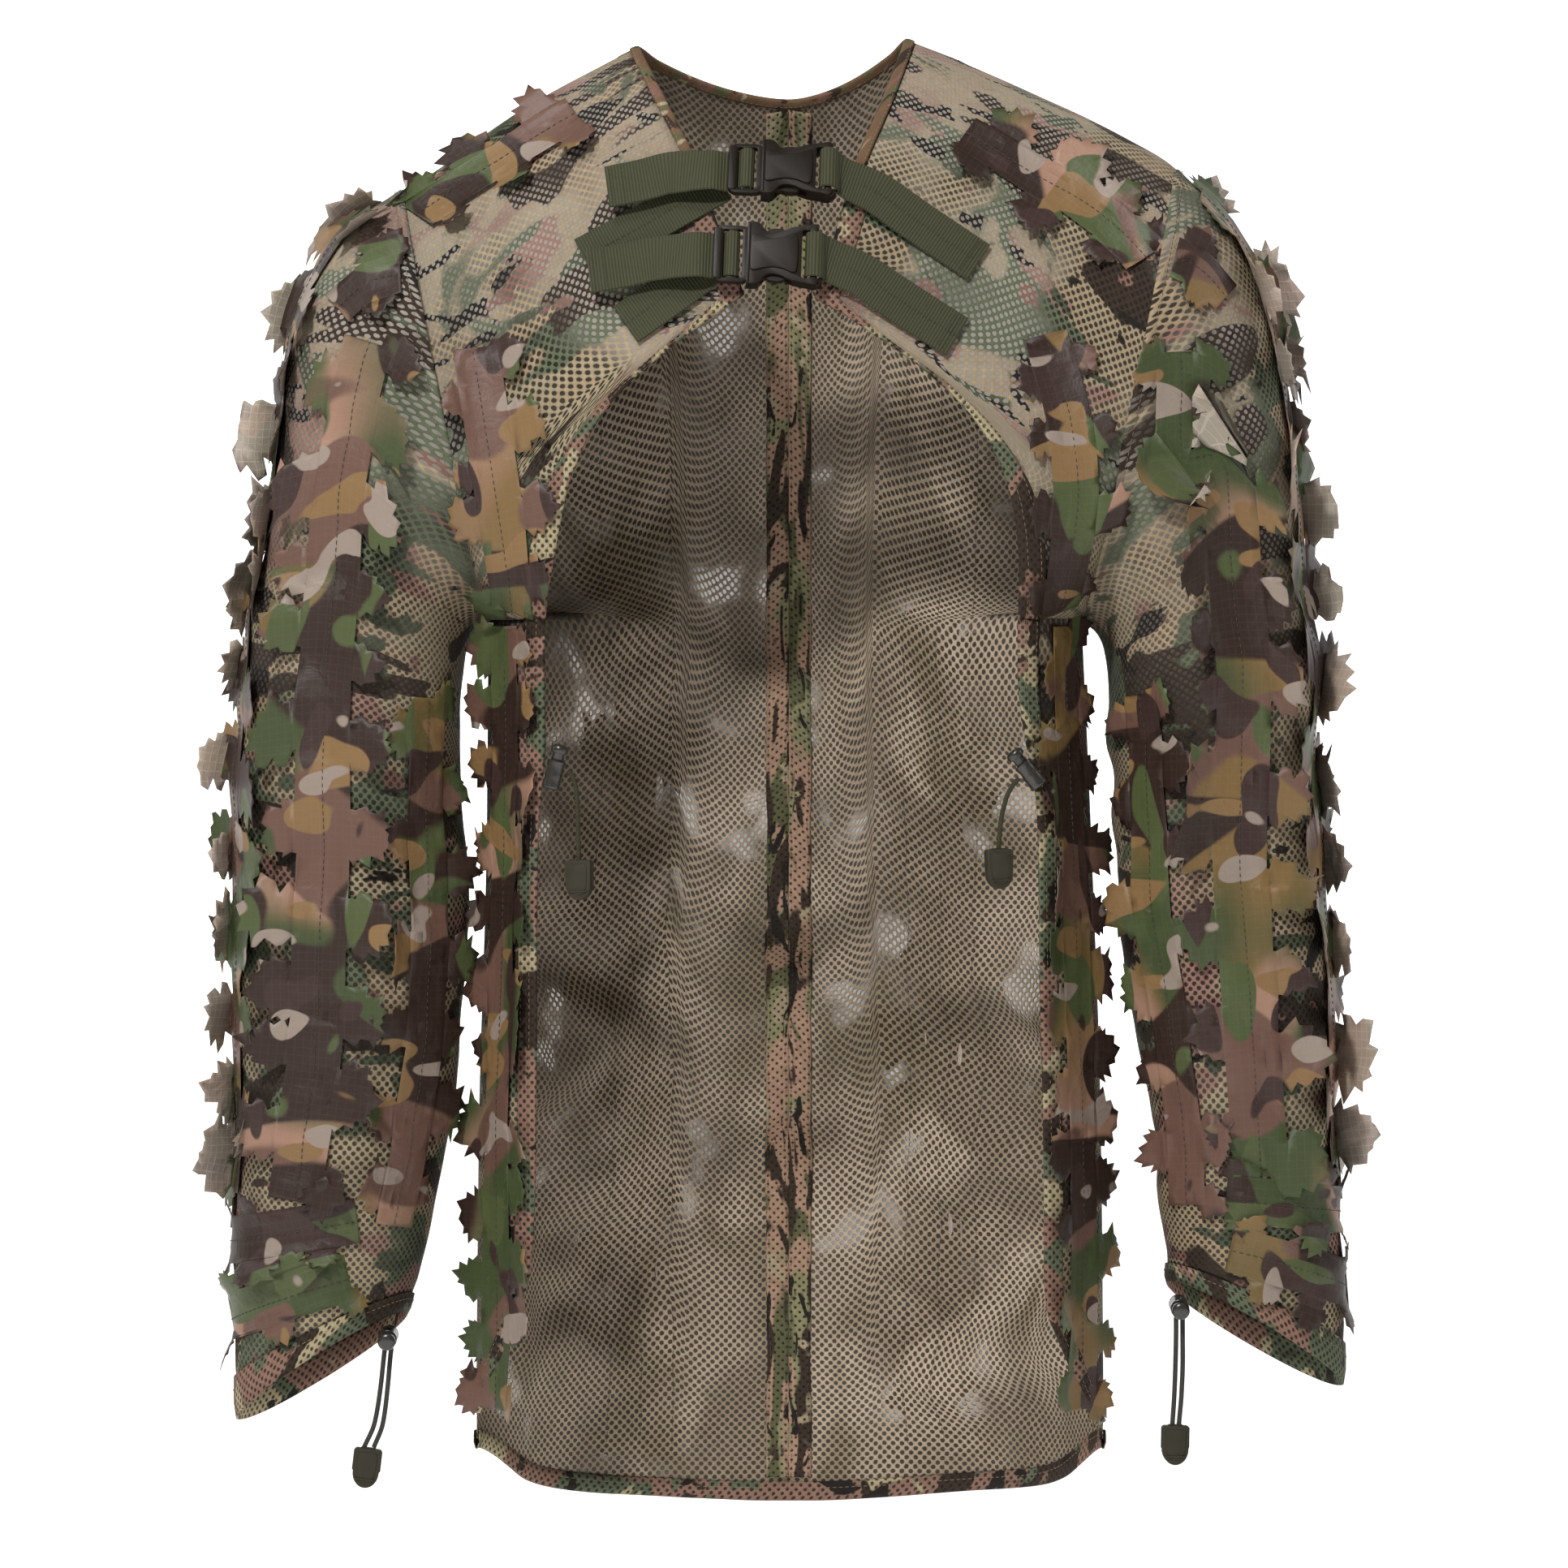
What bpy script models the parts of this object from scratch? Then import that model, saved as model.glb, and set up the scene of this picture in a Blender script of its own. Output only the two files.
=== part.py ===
"""Leafy mesh ghillie jacket: cloth shell, leaf trim, chest buckles and drawcords.

Metres, +Z up. The origin is between the wearer's shoulders at the height of the back neck.
The front faces -Y. "left" and "right" are the wearer's, so left is +X.
"""

import math

import bmesh
import bpy
import numpy as np
from mathutils import Matrix, Vector

for old in list(bpy.data.objects):
    bpy.data.objects.remove(old, do_unlink=True)

# ---- driving dimensions ----------------------------------------------------------------------
CLOTH = 0.0012  # mesh cloth, as thick as its solid
STRIP = 0.0024  # doubled edges, bindings and casings
GAP = 0.0004  # between pieces that meet
Z_ARMPIT = -0.286
ARMHOLE_DEPTH = 0.078  # half of the armhole, front to back
X_SHOULDER = 0.205  # armhole top
RIDGE_TOP = 0.040  # shoulder line carried on to the middle
TAPE = 0.0125  # each centre-back tape
FACING = 0.0120
BINDING = 0.0050
HEM_CASING = 0.0105
LEAF_OFFSET, LEAF_THICK = 0.0050, 0.0020
WEB, WEB_THICK = 0.0250, 0.0015  # strap webbing
CORD_D = 0.0025
LOCK_R, LOCK_L, LOCK_BORE, LOCK_TRAVEL = 0.0049, 0.0150, 0.0036, 0.0035
PULL_W, PULL_H, PULL_T = 0.0145, 0.0205, 0.0060
BUCKLE_T, MALE_T, CAVITY_T = 0.0084, 0.0032, 0.0040
RIGHT, LEFT = -1, 1  # the sign of x
SIDE = {RIGHT: "right", LEFT: "left"}
NEARLY = math.pi / 2 - 0.003
SEAM = 0.0013  # how far each cloth stops short of the middle of the shoulder seam


def smooth(pairs):
    """A monotone cubic through (station, value) pairs."""
    xs = np.array([p[0] for p in pairs], float)
    ys = np.array([p[1] for p in pairs], float)
    h = np.diff(xs)
    d = np.diff(ys) / h
    m = np.zeros_like(ys)
    m[0], m[-1] = d[0], d[-1]
    for i in range(1, len(xs) - 1):
        if d[i - 1] * d[i] > 0:
            a, b = 2 * h[i] + h[i - 1], h[i] + 2 * h[i - 1]
            m[i] = (a + b) / (a / d[i - 1] + b / d[i])

    def at(x):
        x = min(max(x, xs[0]), xs[-1])
        i = min(max(int(np.searchsorted(xs, x, side="right")) - 1, 0), len(h) - 1)
        t = (x - xs[i]) / h[i]
        return float(
            (2 * t**3 - 3 * t**2 + 1) * ys[i]
            + (t**3 - 2 * t**2 + t) * h[i] * m[i]
            + (3 * t**2 - 2 * t**3) * ys[i + 1]
            + (t**3 - t**2) * h[i] * m[i + 1]
        )

    return at


# ---- the garment's outline, as stations in metres ---------------------------------------------
RIDGE = {
    RIGHT: smooth([(0, RIDGE_TOP), (0.040, 0.033), (0.080, 0.018), (0.104, 0.006), (0.145, -0.017), (0.192, -0.050), (0.205, -0.058), (0.230, -0.074)]),
    LEFT: smooth([(0, RIDGE_TOP), (0.030, 0.035), (0.062, 0.022), (0.090, 0.011), (0.122, -0.003), (0.170, -0.026), (0.205, -0.047), (0.230, -0.066)]),
}
NECK_X = {RIGHT: 0.080, LEFT: 0.062}
WIDTH = {
    RIGHT: smooth([(-0.770, 0.166), (-0.550, 0.164), (-0.400, 0.160), (Z_ARMPIT, 0.159)]),
    LEFT: smooth([(-0.770, 0.167), (-0.550, 0.165), (-0.400, 0.160), (Z_ARMPIT, 0.155)]),
}
DEPTH = {
    -1: smooth([(-0.770, 0.104), (-0.500, 0.101), (Z_ARMPIT, 0.105)]),
    1: smooth([(-0.770, 0.112), (-0.500, 0.104), (Z_ARMPIT, 0.115)]),
}
V_EDGE = {
    RIGHT: [(0.080, 0.018), (0.066, -0.012), (0.049, -0.048), (0.036, -0.086), (0.023, -0.121)],
    LEFT: [(0.062, 0.022), (0.050, -0.012), (0.034, -0.052), (0.024, -0.088), (0.013, -0.123)],
}
V_END = {RIGHT: -0.050, LEFT: -0.054}  # where the neck binding stops and the facing starts
ARCH = {
    RIGHT: [(0.023, -0.121), (0.053, -0.141), (0.084, -0.167), (0.104, -0.195), (0.114, -0.220), (0.120, -0.250), (0.126, -0.291), (0.126, -0.354), (0.129, -0.393), (0.130, -0.471), (0.130, -0.550), (0.133, -0.616), (0.143, -0.656), (0.155, -0.684), (0.163, -0.703)],
    LEFT: [(0.013, -0.123), (0.040, -0.138), (0.063, -0.154), (0.092, -0.181), (0.109, -0.209), (0.116, -0.236), (0.118, -0.264), (0.119, -0.322), (0.123, -0.350), (0.129, -0.383), (0.130, -0.450), (0.131, -0.560), (0.133, -0.639), (0.144, -0.669), (0.156, -0.695), (0.163, -0.708)],
}
SLEEVE_OUT = {
    RIGHT: [(0.2068, -0.0585), (0.234, -0.076), (0.256, -0.112), (0.268, -0.165), (0.274, -0.225), (0.285, -0.290), (0.290, -0.390), (0.291, -0.490), (0.293, -0.580), (0.293, -0.645), (0.290, -0.706)],
    LEFT: [(0.2068, -0.0475), (0.227, -0.068), (0.247, -0.104), (0.260, -0.155), (0.266, -0.215), (0.275, -0.285), (0.280, -0.380), (0.284, -0.475), (0.289, -0.565), (0.293, -0.628), (0.291, -0.688)],
}
SLEEVE_IN = {
    RIGHT: [(0.1608, -0.2875), (0.167, -0.293), (0.171, -0.302), (0.1735, -0.316), (0.175, -0.338), (0.175, -0.370), (0.171, -0.430), (0.172, -0.500), (0.183, -0.570), (0.194, -0.618), (0.201, -0.650)],
    LEFT: [(0.1568, -0.2875), (0.163, -0.293), (0.167, -0.302), (0.169, -0.316), (0.169, -0.338), (0.170, -0.370), (0.172, -0.430), (0.184, -0.500), (0.192, -0.565), (0.196, -0.605), (0.199, -0.634)],
}
SLEEVE_DEPTH = smooth([(0, 0.078), (0.1, 0.077), (0.2, 0.073), (0.3, 0.069), (0.5, 0.061), (0.7, 0.055), (0.85, 0.050), (1, 0.045)])
SLEEVE_Y = smooth([(0, 0.0), (0.3, -0.002), (0.6, -0.010), (1, -0.022)])
CUFF_LIFT = smooth([(0, 0.0), (0.75, 0.0), (1, 0.010)])  # the front rim is higher than the back rim


def hem_z(front, s):
    return -0.7246 if front < 0 else -0.766 + 0.017 * s**2 + 0.0244 * s**14


def torso(side, front, a, t):
    """A point of the body cloth. front is -1 or 1, a runs from 0 at the middle to pi/2 at the side seam, and t from 0 at the hem through 1 at the armpit to 2 at the shoulder line."""
    s, e = math.sin(a), max(math.cos(a), 0.0) ** 0.85
    if t <= 1:
        z0 = hem_z(front, s)
        z = z0 + (Z_ARMPIT - z0) * t
        return Vector((side * s * WIDTH[side](z), front * DEPTH[front](z) * e, z))
    q = (t - 1) * math.pi / 2
    r = math.sin(q)
    x0 = WIDTH[side](Z_ARMPIT)
    x = s * (x0 + (X_SHOULDER - x0) * r * r)
    z = Z_ARMPIT + (RIDGE[side](s * X_SHOULDER) - Z_ARMPIT) * r ** (1 + s * s)
    profile = max(1 - r**2.2, 0) ** 0.85 if front < 0 else max(1 - r**3, 0) ** 0.65
    y = DEPTH[front](Z_ARMPIT) * profile * e + ARMHOLE_DEPTH * math.sin(2 * q) * (1 - e)
    return Vector((side * x, front * y, z))


def torso_at(side, front, x, z):
    """The (a, t) of a point given by its place in the front view."""
    x = abs(x)
    if z <= Z_ARMPIT:
        s = min(x / WIDTH[side](z), 1)
        z0 = hem_z(front, s)
        return math.asin(s), (z - z0) / (Z_ARMPIT - z0)
    x0 = WIDTH[side](Z_ARMPIT)
    s, r = min(x / X_SHOULDER, 1), 0.5
    for _ in range(80):
        rise = (z - Z_ARMPIT) / (RIDGE[side](s * X_SHOULDER) - Z_ARMPIT)
        r = min(max(rise, 0), 1) ** (1 / (1 + s * s))
        s = (s + min(x / (x0 + (X_SHOULDER - x0) * r * r), 1)) / 2
    return math.asin(s), 1 + math.asin(r) / (math.pi / 2)


def ridge(side, front, a):
    """The level where the cloth meets the shoulder seam."""
    low, high = 1.9, 2.0
    for _ in range(30):
        middle = (low + high) / 2
        if abs(torso(side, front, a, middle).y) > SEAM:
            low = middle
        else:
            high = middle
    return low


def outward(side, front, a, t):
    a, t = min(max(a, 0.01), NEARLY - 0.02), min(max(t, 0.01), 1.98)
    da = torso(side, front, a + 0.004, t) - torso(side, front, a - 0.004, t)
    dt = torso(side, front, a, t + 0.004) - torso(side, front, a, t - 0.004)
    n = da.cross(dt).normalized()
    p = torso(side, front, a, t)
    return n if n.dot(Vector((p.x, p.y, max(p.z + 0.3, 0.0)))) > 0 else -n


def sleeve(side, k, f):
    """A point of the sleeve: k from 0 at the armhole to 1 at the cuff, f from 0 at the outer side through pi/2 at the front to pi at the inner side."""
    n = len(SLEEVE_OUT[side]) - 1
    ox, oz, ix, iz = SLEEVE_LINES[side]
    ox, oz, ix, iz = ox(k * n), oz(k * n), ix(k * n), iz(k * n)
    c, s = math.cos(f), math.sin(f)
    return Vector(
        (
            side * ((ox + ix) / 2 + (ox - ix) / 2 * c),
            SLEEVE_Y(k) - SLEEVE_DEPTH(k) * s,
            (oz + iz) / 2 + (oz - iz) / 2 * c + CUFF_LIFT(k) * s,
        )
    )


SLEEVE_LINES = {
    side: tuple(
        smooth([(i, p[axis]) for i, p in enumerate(table[side])])
        for table in (SLEEVE_OUT, SLEEVE_IN)
        for axis in (0, 1)
    )
    for side in (RIGHT, LEFT)
}


def sleeve_out(side, k, f):
    k = min(max(k, 0.01), 0.99)
    n = (sleeve(side, k, f + 0.01) - sleeve(side, k, f - 0.01)).cross(
        sleeve(side, k + 0.005, f) - sleeve(side, k - 0.005, f)
    ).normalized()
    middle = (sleeve(side, k, 0) + sleeve(side, k, math.pi)) / 2
    return n if n.dot(sleeve(side, k, f) - middle) > 0 else -n


# ---- objects -----------------------------------------------------------------------------------
def material(name, colour, roughness, metallic=0.0):
    m = bpy.data.materials.new(name)
    m.use_nodes = True
    shader = m.node_tree.nodes["Principled BSDF"]
    shader.inputs["Base Color"].default_value = (*colour, 1)
    shader.inputs["Roughness"].default_value = roughness
    shader.inputs["Metallic"].default_value = metallic
    m.diffuse_color = (*colour, 1)
    return m


MESH = material("mesh_cloth", (0.20, 0.17, 0.10), 0.85)
MESH_DARK = material("mesh_edge", (0.10, 0.09, 0.06), 0.85)
TAPE_CLOTH = material("tape_cloth", (0.16, 0.11, 0.08), 0.85)
RIPSTOP = material("ripstop_leaf", (0.22, 0.13, 0.08), 0.7)
WEBBING = material("olive_webbing", (0.06, 0.08, 0.02), 0.8)
PLASTIC = material("brown_plastic", (0.035, 0.026, 0.018), 0.4)
LOCK_PLASTIC = material("lock_plastic", (0.03, 0.03, 0.025), 0.4)
PULL_PLASTIC = material("pull_plastic", (0.06, 0.055, 0.045), 0.5)
CORD = material("drawcord", (0.04, 0.05, 0.02), 0.8)
STEEL = material("spring_steel", (0.5, 0.5, 0.5), 0.35, 1.0)


def finish(obj, mat, sharp=40):
    bpy.context.scene.collection.objects.link(obj)
    obj.data.materials.append(mat)
    if obj.type == "MESH":
        obj.data.shade_smooth()
        obj.data.set_sharp_from_angle(angle=math.radians(sharp))
    return obj


def mesh_object(name, points, faces, mat, origin=(0, 0, 0)):
    origin = Vector(origin)
    mesh = bpy.data.meshes.new(name)
    mesh.from_pydata([Vector(p) - origin for p in points], [], faces)
    mesh.update()
    obj = bpy.data.objects.new(name, mesh)
    obj.location = origin
    return finish(obj, mat)


def sheet(name, rows, mat, thickness, closed=False, origin=(0, 0, 0)):
    """A sheet through a grid of points, thickened evenly to both sides."""
    wide = len(rows[0])
    points = [p for row in rows for p in row]
    faces = [
        (i * wide + j, i * wide + (j + 1) % wide, (i + 1) * wide + (j + 1) % wide, (i + 1) * wide + j)
        for i in range(len(rows) - 1)
        for j in range(wide if closed else wide - 1)
    ]
    obj = mesh_object(name, points, faces, mat, origin)
    solid = obj.modifiers.new("Thickness", "SOLIDIFY")
    solid.thickness, solid.offset = thickness, 0
    return obj


def spread(low, high, count):
    return [low + (high - low) * i / (count - 1) for i in range(count)]


def in_turn(low, high, share):
    return low + (high - low) * share


# ---- body cloth ----------------------------------------------------------------------------------
def width_at(side, t):
    """Half the width of the body cloth at a level."""
    return abs(torso(side, 1, math.pi / 2, t).x)


def across(side, t, x):
    return math.asin(min(x / width_at(side, t), 1))


def neck_line(side, drop=0.0, out=0.0):
    """The back neck edge as a function from a to t, moved down and out from the true edge."""
    end = NECK_X[side] + out
    low, high = -0.0026 - drop, RIDGE[side](end)
    table = []
    for x in spread(0, end, 13):
        a, t = torso_at(side, 1, x, low + (high - low) * (x / end) ** 1.7)
        table.append((a + len(table) * 1e-7, t))
    line = smooth(table)
    return lambda a: min(line(a), ridge(side, 1, a)) if a < table[-1][0] else ridge(side, 1, a)


def front_edge(side):
    """The front edge as a function from t to a: down the V, then out along the arch."""
    table = {}
    for part in (V_EDGE[side], ARCH[side]):
        lengths = np.concatenate([[0], np.cumsum(np.hypot(*np.diff(np.array(part), axis=0).T))])
        xs = smooth(list(zip(lengths, [p[0] for p in part])))
        zs = smooth(list(zip(lengths, [p[1] for p in part])))
        for d in spread(0, lengths[-1], 40):
            a, t = torso_at(side, -1, xs(d), zs(d))
            table[round(t, 5)] = a
    ts = sorted(table)
    return lambda t: float(np.interp(t, ts, [table[v] for v in ts]))


EDGE = {side: front_edge(side) for side in (RIGHT, LEFT)}
T_TIP = {side: torso_at(side, -1, *ARCH[side][0])[1] for side in (RIGHT, LEFT)}
T_END = {side: torso_at(side, -1, *ARCH[side][-1])[1] for side in (RIGHT, LEFT)}
T_V = {side: torso_at(side, -1, np.interp(-V_END[side], [-p[1] for p in V_EDGE[side]], [p[0] for p in V_EDGE[side]]), V_END[side])[1] for side in (RIGHT, LEFT)}


def strip_width(side, t):
    """How wide the edge strip is along the row: the facing is cut across at a slant on the arch."""
    tip = T_TIP[side]
    if t > tip:
        return FACING
    return in_turn(0.020, FACING, min((tip - t) / 0.45, 1))


def inset(side, t, distance):
    """EDGE moved into the cloth by a distance along the row."""
    a = EDGE[side](t)
    for _ in range(24):
        step = (torso(side, -1, a + 0.002, t) - torso(side, -1, a, t)).length / 0.002
        a += distance / 24 / step
    return a


T_CASING = {side: (HEM_CASING + 5 * GAP) / (Z_ARMPIT + 0.75) for side in (RIGHT, LEFT)}
for side in (RIGHT, LEFT):
    neck = neck_line(side, drop=0.0070, out=0.0085)
    rows = []
    for v in spread(0, 1, 15):
        row = []
        for u in spread(0, 1, 9):
            t = in_turn(T_CASING[side], neck(across(side, 1.6, TAPE + 2 * GAP)), v)
            for _ in range(6):
                a = in_turn(across(side, t, TAPE + 2 * GAP), NEARLY, u)
                t = in_turn(T_CASING[side], neck(a), v)
            row.append(torso(side, 1, a, t))
        rows.append(row)
    sheet(f"back_panel_{SIDE[side]}", rows, MESH, CLOTH)

    top = neck_line(side, drop=0.0070)(0.02)
    rows = [
        [torso(side, 1, across(side, t, x), t) for x in (GAP, TAPE)]
        for t in spread(T_CASING[side], top, 19)
    ]
    sheet(f"back_seam_tape_{SIDE[side]}", rows, TAPE_CLOTH, STRIP * 0.7)

    levels = (
        spread(1.950, T_TIP[side] + 0.012, 8)
        + spread(T_TIP[side], 1.0, 8)
        + spread(0.93, T_END[side], 12)
    )
    rows = []
    for t in levels:
        low = inset(side, t, strip_width(side, t) + GAP + (0.0006 if t > T_V[side] else 0))
        row = [in_turn(low, NEARLY, u) for u in spread(0, 1, 6)]
        rows.append([torso(side, -1, a, ridge(side, -1, a) if t == levels[0] else t) for a in row])
    sheet(f"front_panel_{SIDE[side]}", rows, MESH, CLOTH)

    levels = [t for t in levels if t < T_V[side] - 0.012]
    levels = [T_V[side] - 0.012] + levels
    rows = [
        [torso(side, -1, inset(side, t, d * strip_width(side, t)), t) for d in (0.0, 0.5, 1.0)]
        for t in levels
    ]
    sheet(f"front_facing_{SIDE[side]}", rows, MESH_DARK, STRIP * 0.7)

rows = []
for side, steps in ((RIGHT, spread(-NEARLY, 0, 12)), (LEFT, spread(0, NEARLY, 12)[1:])):
    for a in steps:
        top = (HEM_CASING - GAP) / (Z_ARMPIT + 0.75)
        rows.append([torso(side, 1, abs(a), t) for t in (0.0, top / 2, top)])
sheet("hem_casing", rows, MESH_DARK, STRIP)


def binding_path(side):
    """The neck edge from the middle of the back over the shoulder line and down the V: points and the way into the cloth."""
    line, found = neck_line(side), []
    end = torso_at(side, 1, NECK_X[side], RIDGE[side](NECK_X[side]))[0]
    for a in spread(0.0, end, 9)[:-1]:
        found.append((torso(side, 1, a, line(a)), outward(side, 1, a, line(a))))
    for t in spread(1.950, T_V[side] + 0.01, 7):
        a = EDGE[side](t)
        found.append((torso(side, -1, a, t), outward(side, -1, a, t)))
    return found


path = [(p, n, RIGHT) for p, n in reversed(binding_path(RIGHT))]
path += [(p, n, LEFT) for p, n in binding_path(LEFT)[1:]]
rows = []
for i, (p, n, side) in enumerate(path):
    along = path[min(i + 1, len(path) - 1)][0] - path[max(i - 1, 0)][0]
    into = n.cross(along).normalized()
    rows.append([p, p - into * BINDING / 2, p - into * BINDING])
if (rows[len(rows) // 2][2] - rows[len(rows) // 2][0]).z > 0:
    rows = [[2 * r[0] - r[0], 2 * r[0] - r[1], 2 * r[0] - r[2]] for r in rows]
sheet("neck_binding", rows, MESH_DARK, STRIP)

# ---- sleeves ---------------------------------------------------------------------------------------
CUFF_K = 0.966
for side in (RIGHT, LEFT):
    rounds = [2 * math.pi * i / 16 for i in range(16)]
    rows = [[sleeve(side, k, f) for f in rounds] for k in [0.0, 0.05] + spread(0.1, CUFF_K - 0.004, 11)]
    sheet(f"sleeve_{SIDE[side]}", rows, MESH, CLOTH, closed=True)
    rows = [[sleeve(side, k, f) for f in rounds] for k in (CUFF_K + 0.004, 0.985, 1.0)]
    sheet(f"cuff_casing_{SIDE[side]}", rows, MESH_DARK, STRIP, closed=True)


# ---- leaf strips -------------------------------------------------------------------------------------
def torso_strip(name, side, front, centre, half, low, high, count):
    """A strip that runs along t, with its middle at centre(t) in a and a half width in metres."""
    rows = []
    for t in spread(low, high, count):
        a = centre(t)
        per = (torso(side, front, a + 0.004, t) - torso(side, front, a, t)).length / 0.004
        rows.append(
            [
                torso(side, front, a + d * half / per, t)
                + outward(side, front, a + d * half / per, t) * LEAF_OFFSET
                for d in (-1, -0.33, 0.33, 1)
            ]
        )
    return sheet(name, rows, RIPSTOP, LEAF_THICK)


for side in (RIGHT, LEFT):
    name = SIDE[side]
    torso_strip(f"leaf_strip_back_{name}", side, 1, lambda t: across(side, t, 0.085), 0.026, 0.08, 1.72, 14)
    torso_strip(f"leaf_strip_side_{name}", side, -1, lambda t: 1.20, 0.017, 0.12, 0.86, 8)
    torso_strip(f"leaf_strip_chest_{name}", side, -1, lambda t: 1.12, 0.016, 1.10, 1.46, 5)
    rows = [
        [torso(side, -1, a, t) + outward(side, -1, a, t) * LEAF_OFFSET for t in (1.70, 1.77, 1.84, 1.91)]
        for a in spread(0.62, 1.30, 7)
    ]
    sheet(f"leaf_strip_shoulder_{name}", rows, RIPSTOP, LEAF_THICK)
    rows = [
        [sleeve(side, k, f) + sleeve_out(side, k, f) * LEAF_OFFSET for f in spread(0.95, 1.75, 5)]
        for k in spread(0.13, 0.80, 12)
    ]
    sheet(f"leaf_strip_sleeve_front_{name}", rows, RIPSTOP, LEAF_THICK)
    rows = [
        [sleeve(side, k, f) + sleeve_out(side, k, f) * LEAF_OFFSET for f in spread(-0.42, 0.42, 5)]
        for k in spread(0.06, 0.80, 13)
    ]
    sheet(f"leaf_strip_sleeve_outer_{name}", rows, RIPSTOP, LEAF_THICK)
    rows = [
        [sleeve(side, k, f) + sleeve_out(side, k, f) * LEAF_OFFSET for f in spread(0.0, 1.8, 8)]
        for k in spread(0.83, 0.945, 3)
    ]
    sheet(f"leaf_strip_cuff_{name}", rows, RIPSTOP, LEAF_THICK)


# ---- solids of outlines and turned profiles ------------------------------------------------------------
def prism(name, outline, low, high, mat, place, helper=False):
    """An outline in the local XY plane, extruded from z = low to z = high."""
    mesh = bpy.data.meshes.new(name)
    bm = bmesh.new()
    face = bm.faces.new([bm.verts.new((x, y, low)) for x, y in outline])
    bm.normal_update()
    if face.normal.z > 0:
        face.normal_flip()
    new = bmesh.ops.extrude_face_region(bm, geom=[face])["geom"]
    bmesh.ops.translate(bm, verts=[v for v in new if isinstance(v, bmesh.types.BMVert)], vec=(0, 0, high - low))
    bmesh.ops.recalc_face_normals(bm, faces=bm.faces)
    bm.to_mesh(mesh)
    bm.free()
    obj = finish(bpy.data.objects.new(name, mesh), mat)
    obj.matrix_world = place
    if helper:
        obj.hide_render, obj.display_type = True, "WIRE"
    return obj


def turned(name, profile, mat, place, sides=12):
    """A closed profile of (radius, height) pairs whose first and last points lie on the axis, turned round local Z."""
    points = [(0, 0, profile[0][1])]
    for r, z in profile[1:-1]:
        points += [(r * math.cos(2 * math.pi * i / sides), r * math.sin(2 * math.pi * i / sides), z) for i in range(sides)]
    points.append((0, 0, profile[-1][1]))
    rings = len(profile) - 2
    faces = [(0, 1 + (i + 1) % sides, 1 + i) for i in range(sides)]
    for j in range(rings - 1):
        for i in range(sides):
            a, b = 1 + j * sides, 1 + (j + 1) * sides
            faces.append((a + i, a + (i + 1) % sides, b + (i + 1) % sides, b + i))
    last, end = 1 + (rings - 1) * sides, len(points) - 1
    faces += [(last + i, last + (i + 1) % sides, end) for i in range(sides)]
    obj = mesh_object(name, points, faces, mat)
    obj.matrix_world = place
    return obj


def cut(obj, cutter):
    cutter.hide_render, cutter.display_type = True, "WIRE"
    change = obj.modifiers.new("Cut", "BOOLEAN")
    change.operation, change.object = "DIFFERENCE", cutter


def mirrored(half):
    """An outline from its upper half, mirrored about y = 0."""
    return half + [(x, -y) for x, y in reversed(half) if abs(y) > 1e-9]


def rounded(x0, x1, y0, y1, r, steps=3):
    found = []
    for cx, cy, start in ((x1 - r, y1 - r, 0), (x0 + r, y1 - r, 90), (x0 + r, y0 + r, 180), (x1 - r, y0 + r, 270)):
        for i in range(steps + 1):
            turn = math.radians(start + 90 * i / steps)
            found.append((cx + r * math.cos(turn), cy + r * math.sin(turn)))
    return found


def frame_at(origin, x_axis, z_axis):
    """A placement with local X along x_axis and local Z as near z_axis as it can be."""
    x = Vector(x_axis).normalized()
    y = Vector(z_axis).cross(x).normalized()
    z = x.cross(y)
    m = Matrix((x, y, z)).transposed().to_4x4()
    m.translation = Vector(origin)
    return m


# ---- chest buckles and straps -------------------------------------------------------------------------------
BUCKLES = {
    "upper": {"mouth": (-0.0146, -0.0710, -0.0555), "tilt": 30, "roll": 2},
    "lower": {"mouth": (-0.0220, -0.0885, -0.1010), "tilt": 16, "roll": 2},
}


def buckle_frame(which):
    """Local X runs from the male half to the female half, local Y up the chest, local Z out of it."""
    spec = BUCKLES[which]
    tilt, roll = math.radians(spec["tilt"]), math.radians(spec["roll"])
    return frame_at(spec["mouth"], (math.cos(roll), 0, -math.sin(roll)), (0, -math.cos(tilt), math.sin(tilt)))


def on_cloth(side, x, z, lift):
    """A section of a strap that lies on the front cloth."""
    a, t = torso_at(side, -1, x, z)
    n = outward(side, -1, a, t)
    return torso(side, -1, a, t) + n * lift, n


def strap(name, sections, mat, origin=(0, 0, 0), count=10, flip=False):
    """Flat webbing through (centre, normal) sections."""
    lengths = [0.0]
    for (p, _), (q, _) in zip(sections, sections[1:]):
        lengths.append(lengths[-1] + (q - p).length)
    lines = [smooth(list(zip(lengths, [s[j][i] for s in sections]))) for j in (0, 1) for i in range(3)]
    rows = []
    for d in spread(0, lengths[-1], count):
        p = Vector([line(d) for line in lines[:3]])
        n = Vector([line(d) for line in lines[3:]]).normalized()
        q = Vector([line(min(d + 0.001, lengths[-1])) for line in lines[:3]])
        o = Vector([line(max(d - 0.001, 0)) for line in lines[:3]])
        side_way = n.cross(q - o).normalized() * WEB / 2
        rows.append([p - side_way, p + side_way])
    return sheet(name, rows, mat, WEB_THICK, origin=origin)


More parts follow.
